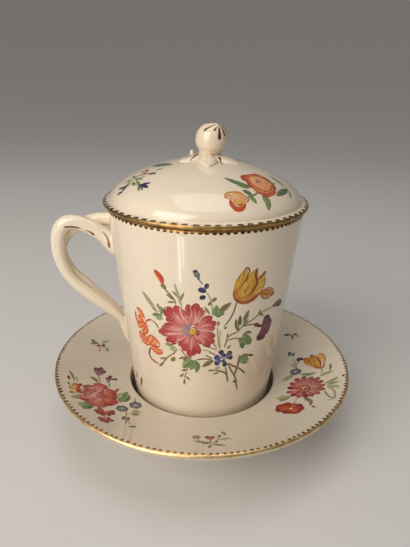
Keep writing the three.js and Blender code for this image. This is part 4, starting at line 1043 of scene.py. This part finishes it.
def roll_points(stations, sides=28):
    """Rings of points round a strand. Its oval section lies wide in the handle's plane."""
    point_z = CUP_MOUTH_Z - HANDLE_TOP_DROP - HANDLE_HEIGHT
    knots = []
    for out, up, across, full in stations:
        z = point_z + up * HANDLE_HEIGHT
        knots.append((-cup_radius(z) - out * HANDLE_REACH, across * STRAND_SPREAD, z, full))
    line = curve_through(knots)
    along = np.gradient(line[:, :3], axis=0)
    in_plane = np.stack([-along[:, 2], 0 * along[:, 0], along[:, 0]], 1)
    in_plane /= np.linalg.norm(in_plane, axis=1)[:, None]
    across = np.cross(along, in_plane)
    across /= np.linalg.norm(across, axis=1)[:, None]
    turns = np.arange(sides) * 2 * math.pi / sides
    rings = []
    for middle, wide, thick in zip(line, in_plane, across):
        broad = np.outer(np.cos(turns), wide) * STRAND_WIDTH / 2 * middle[3]
        deep = np.outer(np.sin(turns), thick) * STRAND_THICKNESS / 2 * middle[3]
        rings.append(middle[:3] + broad + deep)
    return np.array(rings)


def loft(rings):
    """Faces that skin a row of closed rings and close both ends, for a list of joined points."""
    count, last = len(rings[0]), (len(rings) - 1) * len(rings[0])
    return skin(len(rings), count) + [tuple(range(count))[::-1], tuple(last + i for i in range(count))]


def melt_together(name, shells, material, voxel, smoothing):
    """Joins overlapping shells, each a list of rings, to one skin with softened joins."""
    points, faces = [], []
    for rings in shells:
        start = sum(len(p) for p in points)
        points.append(np.concatenate(rings))
        faces += [tuple(start + index for index in face) for face in loft(rings)]
    rough = add_piece(name + "_rough", np.concatenate(points), faces, material)
    remesh = rough.modifiers.new("join", "REMESH")
    remesh.mode = "VOXEL"
    remesh.voxel_size = voxel * 0.001
    soften = rough.modifiers.new("soften", "SMOOTH")
    soften.factor = 0.5
    soften.iterations = smoothing
    mesh = bpy.data.meshes.new_from_object(rough.evaluated_get(bpy.context.evaluated_depsgraph_get()))
    bpy.data.objects.remove(rough)
    mesh.name = name
    mesh.shade_smooth()
    piece = bpy.data.objects.new(name, mesh)
    bpy.context.scene.collection.objects.link(piece)
    return piece


def root_pad(z, across, high, wide, sides=24):
    """A low swelling of clay where a roll meets the wall."""
    rings = []
    for step in range(PAD_RINGS):
        tilt = math.pi / 2 * step / (PAD_RINGS - 0.5)
        turns = np.arange(sides) * 2 * math.pi / sides
        level = z + high * math.cos(tilt) * np.sin(turns)
        side = across + wide * math.cos(tilt) * np.cos(turns)
        wall = np.sqrt(np.clip(cup_radius(level) ** 2 - side ** 2, 0, None))
        rings.append(np.stack([-(wall - PAD_SINK + PAD_RISE * math.sin(tilt)), side, level], 1))
    return rings


front_roll, back_roll = roll_points(FRONT_STRAND), roll_points(BACK_STRAND)
pads = [root_pad(*pad) for pad in PADS]
handle_glaze = glaze("handle_glaze", (236, 222, 200), (226, 210, 188), 0.5, 0.5)
groove_fill = roll_points(GROOVE_FILL)
handle_shells = [front_roll, back_roll, groove_fill, *pads]
handle = melt_together("handle_porcelain", handle_shells, handle_glaze, voxel=0.3, smoothing=7)
handle_points = np.empty(len(handle.data.vertices) * 3)
handle.data.vertices.foreach_get("co", handle_points)
handle_points = handle_points.reshape(-1, 3) * 1000
inside = np.hypot(handle_points[:, 0], handle_points[:, 1])
least = cup_radius(handle_points[:, 2]) - HANDLE_SINK
handle_points[:, :2] *= np.maximum(1, least / inside)[:, None]
handle.data.vertices.foreach_set("co", (handle_points * 0.001).ravel())
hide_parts("handle_front_strand", "handle_back_strand")


IN_FRONT_Y = -90
ABOVE_Z = 160


def seen_from(pieces, toward):
    """Gives the surface of some pieces as it is met along a direction: from the front, or from above."""
    to_back = toward == "back"
    way = Vector((0, 1, 0) if to_back else (0, 0, -1))
    graph = bpy.context.evaluated_depsgraph_get()
    parts = [BVHTree.FromObject(source, graph) for source in pieces]

    def surface(x, y):
        spots, normals = np.zeros((*x.shape, 3)), np.zeros((*x.shape, 3))
        for index in np.ndindex(x.shape):
            before = (x[index], IN_FRONT_Y, y[index]) if to_back else (x[index], y[index], ABOVE_Z)
            start = Vector(before) * 0.001
            hits = [hit for hit in (tree.ray_cast(start, way) for tree in parts) if hit[0] is not None]
            hits = hits or [tree.find_nearest(start + way * 0.085) for tree in parts]
            spot, normal, _, _ = min(hits, key=lambda hit: hit[3])
            spots[index], normals[index] = np.array(spot) * 1000, normal
        return spots, normals

    return surface


stroke_gold = gild("stroke_gold", (158, 112, 64), (96, 62, 34), 0.7)

# Cover. A low dome with a narrow brim, and under it a flange that drops inside the cup's mouth. The
# brim's edge is gilt, with small gold arches along it. Two sprays are painted on the dome's sides.

BRIM_Z = 107.33
BRIM_RADIUS = 43.66
BRIM_WIDTH = 3.0
BRIM_THICKNESS = 1.95
BRIM_FILLET = 0.7
DOME_HEIGHT = 16.5
DOME_FULLNESS = 1.64
COVER_WALL = 2.6
FLANGE_RADIUS = 38.96
FLANGE_DEPTH = 5.0
FLANGE_WALL = 2.2
ARCHES_ON_BRIM = 68
ARCH_RADIUS = 42.95
# An arch's path: how far out from its radius, and how far to the side
ARCH_BOW = [(0.4, -1.15), (-0.1, -0.75), (-0.3, 0), (-0.1, 0.75), (0.4, 1.15)]

dome_radius = BRIM_RADIUS - BRIM_WIDTH
brim_top = BRIM_Z + BRIM_THICKNESS
dome_z = brim_top + BRIM_FILLET
dome_top_z = dome_z + DOME_HEIGHT


def dome_face(radius, height, base, steps):
    turns = np.linspace(0, math.pi / 2, steps + 1)
    power = 2 / DOME_FULLNESS
    points = [(radius * math.cos(t) ** power, base + height * math.sin(t) ** power) for t in turns[:-1]]
    return points + [(0, base + height)]


def dome_height(radius):
    share = np.minimum(radius / dome_radius, 1)
    return dome_z + DOME_HEIGHT * (1 - share ** DOME_FULLNESS) ** (1 / DOME_FULLNESS)


brim_round = BRIM_THICKNESS / 2
brim_lip = arc(BRIM_RADIUS - brim_round, BRIM_Z + brim_round, brim_round, -90, 90, 24)
flange_in = FLANGE_RADIUS - FLANGE_WALL
flange_z = BRIM_Z - FLANGE_DEPTH
fillet = corner((dome_radius + BRIM_FILLET, brim_top), (dome_radius, brim_top), (dome_radius, dome_z), 8)
outside = [*brim_lip, *fillet, *dome_face(dome_radius, DOME_HEIGHT, dome_z, 90)[1:]]
cover_profile = [
    *dome_face(flange_in, dome_top_z - COVER_WALL - BRIM_Z, BRIM_Z, 60)[::-1],
    *[(flange_in, z) for z in np.linspace(BRIM_Z, flange_z + 0.6, 6)[1:]],
    *corner((flange_in, flange_z + 0.5), (flange_in, flange_z), (flange_in + 0.5, flange_z), 6),
    *corner((FLANGE_RADIUS - 1.0, flange_z), (FLANGE_RADIUS, flange_z), (FLANGE_RADIUS, flange_z + 1.1), 8),
    (FLANGE_RADIUS, BRIM_Z - 0.3), (FLANGE_RADIUS + 0.3, BRIM_Z),
    *outside,
]
cover_glaze = glaze("cover_glaze", (236, 222, 200), (226, 210, 188))
cover = throw("cover_porcelain", cover_profile, cover_glaze)
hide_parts("cover")
from_pole = outside[::-1][:-14]
cover_run = np.concatenate([[0], np.cumsum(np.hypot(*np.diff(np.array(from_pole), axis=0).T))])
on_cover = face_of(from_pole, cover_run)
brim_band = gilt_band("cover_gilt_brim", brim_lip[4:20], brim_gold, seed=51)
arch_run = float(np.interp(-ARCH_RADIUS, [-p[0] for p in from_pole[::-1]], cover_run[::-1]))
rng = np.random.default_rng(12)
arches = []
for count in range(ARCHES_ON_BRIM):
    middle = 2 * math.pi * (count + rng.uniform(-0.05, 0.05)) / ARCHES_ON_BRIM
    bow = [(arch_run + out, middle + side / arch_run) for out, side in ARCH_BOW]
    arch = [(run * math.cos(t), run * math.sin(t)) for run, t in bow]
    arches.append(("dab", "gold", rng.uniform(1.15, 1.35), arch))
cover_arches = paint("cover_gilt_arches", arches, on_cover, tooth_gold, seed=13, lift=0.012, step=0.25)

right_spray = strokes("""
leaf moss 1.7 25.8,-9.2 29.6,-11.8 33.6,-15; line moss .7 33,-14.6 34.6,-16.6 35,-20.2
leaf moss 1 34.6,-16.4 35.2,-18.2 35.1,-20.4; leaf moss 1 27.8,-15.6 27.2,-17 26,-18.2
leaf moss 3 33.7,-15.6 31.2,-20 28,-25.6; leaf moss 3 17.2,-26.3 12,-25.4 6.4,-22.9
leaf green 1.5 16.2,-27.5 13.6,-27.2 10.6,-25.9; leaf green 3.3 21.5,-28.9 23.7,-31.4 24.5,-35.4
line moss .8 16.2,-32.5 18.4,-30.2 20,-28; leaf moss 2.5 17.2,-30.8 15.4,-30 13.4,-29.3
leaf green 2.5 15.6,-31.8 17.6,-33 19.2,-34.8; dab peach 6 16.4,-21.6 26.8,-20.8
dab peach 6.4 16.8,-18.6 25.2,-17.6; dab peach 6.4 17.2,-24.4 26,-24.2; dab peach 6 16.2,-22 26.6,-22.6
dab peach 4 17.4,-26 24.6,-26.8; dab peach 3.8 14.4,-20.4 17.8,-20; dab peach 4 18.8,-16 23.8,-15.8
dab tan 3.2 19,-20.8 22.6,-20.8; line apricot 1 18.4,-22.8 20.6,-24.4 23.6,-23.4
line apricot .9 23.8,-18.4 25.2,-20.4 24.8,-22.6
line scarlet 1.6 16.4,-17.8 14.7,-18.4 13.8,-20.2 14.6,-22 16.2,-22.7
edge rust .5 16.4,-19.2 15.3,-19.8 15.2,-21 16.2,-21.8
line orange 1.6 15.8,-22.4 15.6,-19.6 16.7,-17 18.5,-15.4; line scarlet 1.7 17.9,-15.7 20,-14.4 22.4,-14.4
line rust 1.6 22,-14.2 24.5,-15.2 26.2,-17.7; line rust 1.7 26,-17.4 27.3,-19.6 27,-22.5
line orange 1.7 27.2,-22.2 26.6,-24.9 24.9,-26.8; line scarlet 1.7 25.2,-26.4 23.7,-28.2 21.4,-28.3
line orange 1.6 21.8,-28.3 19.7,-27.8 18,-26.1; line scarlet 1.6 18.3,-26.4 16.5,-24.7 15.8,-22.2
line rust .6 25.8,-24.2 24.2,-26.6 21.6,-27.2
line rust .5 17.2,-17.9 18.8,-16.5 21,-15.7 23.6,-16.3 25.4,-18.2
line rust .7 25.9,-19.4 25.7,-22.4 24.2,-25 21.4,-26.3 18.8,-25.2 17,-22.8 16.8,-20.2
edge scarlet .6 17.3,-23.4 19.4,-25.4 22,-26.1
line amber .5 18.3,-22.6 18,-20 19.4,-18.2 21.8,-17.9 23.4,-19.4
line umber .6 20.1,-20.4 19.2,-19.6 18.4,-19.2; line umber .6 20.1,-20.4 19.8,-19.2 19.6,-18.3
line umber .6 20.1,-20.4 21,-19.4 21.8,-19; line umber .6 20.1,-20.6 21,-21.4 21.8,-22
line umber .6 20.1,-20.6 19.6,-21.6 19,-22.4; dab umber 1 19.7,-20.6 20.6,-20.4
dab tan 5.4 7.6,-33.2 15.4,-33.6; dab tan 4.6 9.2,-35.6 14.9,-35.4; dab tan 3.4 10.2,-37.4 13.8,-37
dab yellow 3.6 10.8,-36.8 13.6,-35.6; dab amber 2.4 7.2,-34.6 9.4,-34.4; dab ochre 1.6 11.4,-37.8 13.4,-37
line ochre .8 9.4,-35.2 6.8,-35.2 7,-33.2 9,-31.9 12.8,-31.7 15.2,-32.6
line rust .5 15.2,-32.6 15.9,-34 15,-35.6; leaf scarlet 2 8.7,-35.2 9.1,-38 11.4,-39.7 13.9,-38.5 14.9,-35.6
leaf scarlet 1 9.4,-36.6 10.6,-38.9 12.8,-39.2; edge scarlet .6 6.9,-34.8 8.4,-33.9 9.8,-34.8
line rust .4 10.3,-35 10.7,-36.9 12.3,-37.7 14.1,-36.2
""")
left_spray = strokes("""
leaf night 1.7 -37.6,-13.2 -35.8,-14.4 -33.8,-15.6; leaf night 1.9 -33.2,-14 -34.4,-16.4 -35.8,-18.8
leaf steel 2 -38,-17 -36.6,-18 -35.2,-18.8; leaf sage 1.8 -35.2,-11.2 -33.8,-10.4 -32,-10.2
leaf steel 1.4 -31,-6.8 -30.8,-8.6 -30.4,-10.8; line olive .6 -35.6,-15.6 -33.4,-14.2 -31.4,-13.2 -29.4,-12
leaf olive 1.3 -33.6,-12.6 -32.4,-11.4 -31.2,-9.6; leaf green 1.2 -32.2,-13.6 -32.6,-15.4 -33.4,-17
line moss .8 -30,-11.6 -28.4,-10.2 -25,-11.5 -22.4,-13; leaf night 1.9 -23.8,-12.2 -22.4,-13.1 -20.6,-13.6
leaf slate 1 -22.2,-13.2 -21.4,-14.2 -20.2,-15; leaf moss 1 -26.8,-10.8 -25.6,-9.8 -24.2,-9.6
leaf rust 1.4 -25.8,-5 -25,-7 -24.6,-9.2; leaf crimson 1.2 -27.6,-5.6 -26.4,-7.4 -25.8,-9.4
leaf green 1.8 -30.2,-12.2 -28,-14 -26,-16.4; leaf olive 1.7 -30.9,-14.8 -30.2,-16.6 -29.4,-18.8
leaf green 2.2 -28.9,-15.8 -28.2,-18 -27.2,-20.6; leaf night 2.4 -27.8,-19.8 -25.6,-21.8 -23.2,-24.8
leaf night 1.5 -26.2,-20.2 -24.2,-21 -22.2,-22; leaf olive 1.2 -27.7,-20.8 -27.5,-22.6 -27.1,-24.8
leaf steel 1.1 -26.6,-21.4 -26.2,-23.4 -25.6,-25.2; line green .6 -29.6,-12.6 -28.6,-15.4 -28,-18.6
leaf sage 1.4 -28.6,-13 -26.8,-13.2 -24.8,-14.4; leaf slate 4.6 -23,-.6 -19.2,-4.4 -14,-8.4
leaf moss 2.2 -22.4,-2.4 -19.4,-5.6 -15,-8.4; leaf green 1.4 -21,-11 -19.4,-10.2 -17.4,-10
""")
cover_enamel = enamel("cover_enamel")
pieces = [cover, brim_band, cover_arches]
for name, marks, seed in (
    ("cover_spray_right", right_spray, 61), ("cover_spray_left", left_spray, 62),
    ("cover_spray_back", around(right_spray, 165), 63), ("cover_sprig_back", around(left_spray, 200), 64),
):
    pieces.append(paint(name, finished(marks), on_cover, cover_enamel, seed))
for piece in pieces:
    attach(piece, "cover")

# Knob. A modelled bud leans on a short stem that swells into a calyx. Four moulded leaves and a pruned
# side shoot lie round it on the dome. Strokes of gold are drawn on the bud and along the leaves' veins.
# One gold stroke, between the front and right leaves, is partly painted shade for the gap between them.

BUD_RADIUS = 6.72
BUD_TIP = 0.66
BUD_SHOULDER = 36
BUD_LEAN = 33
BUD_AZIMUTH = -49
BUD_OFFSET = 1.8
STEM_OFFSET = 0.5
STEM_DIAMETER = 7.4
STEM_HEIGHT = 0.3
CALYX_DIAMETER = 10.6
CALYX_HEIGHT = 2.4
SHOOT_AZIMUTH = 146
SHOOT_REACH = 7.6
# The shoot's sections: how far over the dome, and the radius
SHOOT_SECTIONS = [(-1.2, 1.5), (-0.2, 1.25), (0.8, 0.92), (1.8, 0.75), (2.5, 0.68), (2.78, 0.5)]
SHOOT_SIDES = 14
RUNNER_HALF_WIDTH = 1.05
RUNNER_HALF_HEIGHT = 0.85
NECK_RADIUS = 3.7
# Where on half a wave a leaf's outline starts and ends
LEAF_WAVE = (0.16, 0.985)
LEAF_THICKNESS = 1.7
LEAF_TIP_THICKNESS = 0.45
LEAF_SINK = 0.15
CREASE_DEPTH = 0.22
CREASE_WIDTH = 0.16
VEIN_DEPTH = 0.07
VEIN_WIDTH = 0.2
VEINS_ALONG = 4.2
# The leaves: direction in degrees, length, width, and how much thicker the root is
LEAVES = [
    ("leaf_left", 208, 9.2, 9.4, 0), ("leaf_right", -28, 10.6, 9.8, 0), ("leaf_front", -88, 11.0, 8.4, 0.5),
    ("leaf_back", 88, 8.6, 8.0, 0),
]

knob_glaze = glaze("knob_glaze", (236, 220, 196), (222, 204, 178), 0.7, 0.6)
ball = arc(0, 0, BUD_RADIUS, -90, BUD_SHOULDER, 40)
shoulder = math.radians(BUD_SHOULDER)
knee = BUD_RADIUS * (math.cos(shoulder) - (1 - math.sin(shoulder)) * math.tan(shoulder))
bud_point = corner(ball[-1], (knee, BUD_RADIUS), (0, BUD_RADIUS + BUD_TIP), 16)
bud_profile = [(0, -BUD_RADIUS), *ball[1:], *bud_point[1:]]
bud = throw("bud_porcelain", bud_profile, knob_glaze, 96)
bud_place = Matrix.Translation((BUD_OFFSET, 0, dome_top_z + STEM_HEIGHT + BUD_RADIUS))
bud_lean = Matrix.Rotation(math.radians(BUD_LEAN), 4, "Y")
bud_place @= Matrix.Rotation(math.radians(BUD_AZIMUTH), 4, "Z") @ bud_lean
bud.data.transform(Matrix.Scale(0.001, 4) @ bud_place @ Matrix.Scale(1000, 4))
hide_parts("knob_bud")
bud_from_tip = bud_profile[::-1][:-6]
bud_run = np.concatenate([[0], np.cumsum(np.hypot(*np.diff(np.array(bud_from_tip), axis=0).T))])
upright_bud = face_of(bud_from_tip, bud_run)
bud_turn, bud_shift = np.array(bud_place.to_3x3()), np.array(bud_place.translation)


def on_bud(x, y):
    spot, normal = upright_bud(x, y)
    return spot @ bud_turn.T + bud_shift, normal @ bud_turn.T


def ring(x, y, z, radius, sides=32):
    turns = np.arange(sides) * 2 * math.pi / sides
    return np.stack([x + radius * np.cos(turns), y + radius * np.sin(turns), np.full(sides, z)], 1)


neck_z = dome_top_z + STEM_HEIGHT
stalk = [ring(STEM_OFFSET, 0, z, radius) for z, radius in (
    (dome_height(6.4) - 0.4, 6.0), (dome_height(5.6) + 0.1, 5.4), (dome_height(4.8) + 0.25, 4.5),
    (dome_top_z + 0.3, 3.85), (neck_z, NECK_RADIUS))]
calyx_swell = CALYX_DIAMETER / 2 - 3.9
for share in (0.25, 0.5, 0.75, 0.94):
    x = STEM_OFFSET + (BUD_OFFSET - STEM_OFFSET) * share
    radius = NECK_RADIUS + calyx_swell * share ** 0.8
    stalk.append(ring(x, 0, neck_z + CALYX_HEIGHT * share, radius))
shoot_turn = math.radians(SHOOT_AZIMUTH)
cosine, sine = math.cos(shoot_turn), math.sin(shoot_turn)
shoot_z = dome_height(SHOOT_REACH)
shoot = [ring(SHOOT_REACH * cosine, SHOOT_REACH * sine, shoot_z + over, radius, SHOOT_SIDES)
         for over, radius in SHOOT_SECTIONS]
turns = np.arange(SHOOT_SIDES) * 2 * math.pi / SHOOT_SIDES
side, lift = RUNNER_HALF_WIDTH * np.cos(turns), RUNNER_HALF_HEIGHT * np.sin(turns)
runner = []
for reach in np.linspace(1.5, SHOOT_REACH + 0.3, 9):
    x, y = reach * cosine - side * sine, reach * sine + side * cosine
    runner.append(np.stack([x, y, dome_height(reach) + 0.1 + lift], 1))
knob_shells = [stalk, shoot, runner]
knob_stem = melt_together("knob_stem_porcelain", knob_shells, knob_glaze, voxel=0.16, smoothing=4)
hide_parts("knob_stem")
leaves = []
for name, azimuth, length, width, over in LEAVES:
    turn = math.radians(azimuth)
    start = STEM_OFFSET * math.cos(turn) + STEM_DIAMETER / 2 - 0.5
    rings = []
    side = np.linspace(1, -1, 41)
    for share in np.linspace(0, 1, 49):
        wave = math.sin(math.pi * (LEAF_WAVE[0] + (LEAF_WAVE[1] - LEAF_WAVE[0]) * share))
        half = width / 2 * wave ** 0.8 - 0.02
        radial = start + share * (length + 0.5)
        swept = radial - 0.5 * side ** 2 * (1 - share)
        x = swept * math.cos(turn) - side * half * math.sin(turn)
        y = swept * math.sin(turn) + side * half * math.cos(turn)
        thick = LEAF_THICKNESS + over * (1 - share) + (LEAF_TIP_THICKNESS - LEAF_THICKNESS) * share ** 2.5
        crown = np.sqrt(np.clip(1 - side ** 2, 0, 1)) * thick
        crease = CREASE_DEPTH * np.exp(-((side / CREASE_WIDTH) ** 2)) * (1 - 0.7 * share)
        ripple = np.exp(-(((share * VEINS_ALONG - np.abs(side) * 1.3 + 0.4) % 1 - 0.5) / VEIN_WIDTH) ** 2)
        veins = VEIN_DEPTH * ripple * np.clip(1.2 - np.abs(side), 0, 1)
        veins *= np.clip(np.abs(side) * 6 - 0.6, 0, 1)
        ground = dome_height(np.hypot(x, y))
        top = np.stack([x, y, ground + np.maximum(crown - crease - veins, 0.04)], 1)
        under = np.stack([x, y, ground - LEAF_SINK], 1)[-2:0:-1]
        rings.append(np.concatenate([top, under]))
    leaf = add_piece(name + "_porcelain", np.concatenate(rings), loft(rings), knob_glaze, 80)
    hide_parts(name)
    leaves.append(leaf)
bud_strokes = strokes("""
drop gold 1.3 .8,.4 3,1 5.2,1.7; drop gold 1.8 .4,-.3 3.2,-1.3 6.3,-2; drop gold 1.2 .7,-1.3 1.4,-2.4 2,-3.5
drop gold 1.3 0,-1.2 -.7,-4 -1.2,-6.8; drop gold 1 -.9,-.4 -2.6,-1.2 -4.8,-2.8
drop gold 1.2 -1,.4 -3.2,1.2 -5.6,2.2; drop gold 1.3 -.4,1 -1.4,3.2 -2.4,5.6
drop gold 1.3 .5,.9 1.4,3 2.4,5.4; dab gold .8 -.4,0 .3,-.1
""")
bud_gold = paint("bud_gilt_strokes", bud_strokes, on_bud, stroke_gold, seed=71, step=0.25)
# The second gold drop below, between the front and the right leaf, is partly painted shade for the gap
# between them.
leaf_vein_and_shade_strokes = strokes("""
drop gold 1.1 -7,-8.1 -5.2,-5.4 -3.6,-2.8; line gold .5 -9.4,-5 -6.6,-3.6 -3.8,-2.2
drop gold 1.1 6.6,-11.2 5.6,-8.4 4.8,-5.4; line gold .6 .3,11 .2,8 .1,4.6
line gold .4 2.4,9.2 1.2,7.4 .3,5.8; line gold .4 -2.2,9.2 -1.2,7.4 -.1,5.8
""")
on_leaves = seen_from([cover, knob_stem, *leaves], "ground")
leaf_vein_and_shade_gold = paint("leaf_gilt_veins_and_painted_shade", leaf_vein_and_shade_strokes, on_leaves, stroke_gold, seed=72, step=0.25)
for piece in (bud, knob_stem, *leaves, bud_gold, leaf_vein_and_shade_gold):
    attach(piece, "cover")

# The handle's gold. A forked stroke of brown gold is drawn over the crossing of the two rolls, and a
# long thin one follows the top of the loop.

fork_strokes = [("drop", "gold", 1.2, [(-44.6, 94.6), (-42.9, 92.6), (-41.9, 90), (-41.6, 87.4)]),
                ("line", "gold", 0.8, [(-61.2, 96), (-57.5, 96.1), (-53.8, 95.6)]),
                ("drop", "gold", 1.1, [(-52.2, 94.8), (-50, 94.1), (-48, 92.8)])]
on_handle = seen_from([handle, cup], "back")
handle_gold = paint("handle_gilt_strokes", fork_strokes, on_handle, stroke_gold, seed=73, step=0.25)
for piece in (handle, handle_gold):
    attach(piece, "cup")

# The stand for the picture: a pale seamless ground that curves up all round, soft lamps and the camera.
# Two narrow lamps on the left, seen only in gloss, give the bright double streak down the glaze.

GROUND_FLAT = 0.9
GROUND_REACH = 3.6
GROUND_RISE = 1.9
GROUND_SIDES = 96
STREAK_TARGET = (-0.01, -0.041, 0.09)
STREAK_COLOUR = (1.0, 0.95, 0.84)
CAMERA_PLACE = (-0.00336, -0.20431, 0.15717)
CAMERA_LENS = 31.59
CAMERA_YAW, CAMERA_PITCH, CAMERA_ROLL = 1.05, 22.25, 1.33

turns = np.linspace(0, math.pi / 2, 25)
bowl = [(GROUND_FLAT * 500, 0), (GROUND_FLAT * 1000, 0)]
for turn in turns[1:]:
    reach = GROUND_FLAT + (GROUND_REACH - GROUND_FLAT) * math.sin(turn)
    bowl.append((1000 * reach, 1000 * GROUND_RISE * (1 - math.cos(turn))))
paper = bpy.data.materials.new("ground_paper")
paper.use_nodes = True
tree = paper.node_tree
place = add_node(tree, "TexCoord").outputs["Object"]
fibres = add_node(tree, "TexNoise", Vector=place, Scale=30.0, Detail=2.0)
paper_tone = mixed(tree, fibres.outputs["Fac"], (0.70, 0.69, 0.68, 1), (0.72, 0.71, 0.70, 1))
tree.links.new(paper_tone, tree.nodes["Principled BSDF"].inputs["Base Color"])
tree.nodes["Principled BSDF"].inputs["Roughness"].default_value = 0.9
ground_points = np.concatenate([ring(0, 0, z, radius, GROUND_SIDES) for radius, z in bowl])
ground_faces = skin(len(bowl), GROUND_SIDES) + [tuple(range(GROUND_SIDES))]
ground = add_piece("ground", ground_points, ground_faces, paper)

scene = bpy.context.scene
scene.world = bpy.data.worlds.new("surround")
scene.world.use_nodes = True
scene.world.node_tree.nodes["Background"].inputs["Color"].default_value = (1.0, 0.97, 0.93, 1)
scene.world.node_tree.nodes["Background"].inputs["Strength"].default_value = 0.22


def add_lamp(name, spot, target, size, power, colour, only_in_gloss=False):
    """A soft rectangular lamp that faces a target, sizes in metres."""
    lamp = bpy.data.lights.new(name, "AREA")
    lamp.shape = "RECTANGLE"
    lamp.size, lamp.size_y = size
    lamp.energy = power
    lamp.color = colour
    holder = bpy.data.objects.new(name, lamp)
    holder.location = spot
    holder.rotation_euler = (Vector(target) - Vector(spot)).to_track_quat("-Z", "Y").to_euler()
    holder.visible_camera = False
    holder.visible_diffuse = not only_in_gloss
    scene.collection.objects.link(holder)


add_lamp("lamp_left", (-0.61, -0.70, 0.58), (0, 0, 0.06), (0.8, 0.8), 8.2, (1.0, 0.94, 0.86))
add_lamp("lamp_low", (-0.45, -0.6, 0.05), (0, 0, 0.02), (0.4, 0.4), 0.9, (1.0, 0.96, 0.9))
add_lamp("lamp_top", (0.0, -0.05, 0.9), (0, 0, 0.1), (0.6, 0.6), 1.8, (1.0, 0.96, 0.9))
add_lamp("lamp_streak", (-0.074, -0.144, 0.023), STREAK_TARGET, (0.008, 0.036), 0.0045, STREAK_COLOUR, True)
add_lamp("lamp_streak_near", (-0.063, -0.149, 0.028), STREAK_TARGET, (0.005, 0.026), 0.0022, STREAK_COLOUR,
         True)

eye = bpy.data.cameras.new("eye")
eye.sensor_fit = "VERTICAL"
eye.sensor_height = 36
eye.lens = CAMERA_LENS
camera = bpy.data.objects.new("camera", eye)
yaw, pitch, roll = (math.radians(angle) for angle in (CAMERA_YAW, CAMERA_PITCH, CAMERA_ROLL))
ahead = Vector((math.sin(yaw) * math.cos(pitch), math.cos(yaw) * math.cos(pitch), -math.sin(pitch)))
level = Vector((math.cos(yaw), -math.sin(yaw), 0))
rise = level.cross(ahead)
across = math.cos(roll) * level + math.sin(roll) * rise
rise = -math.sin(roll) * level + math.cos(roll) * rise
camera_axes = Matrix((across, rise, -ahead)).transposed().to_4x4()
camera.matrix_world = Matrix.Translation(CAMERA_PLACE) @ camera_axes
eye.clip_start = 0.01
scene.collection.objects.link(camera)
scene.camera = camera
scene.view_settings.view_transform = "Standard"
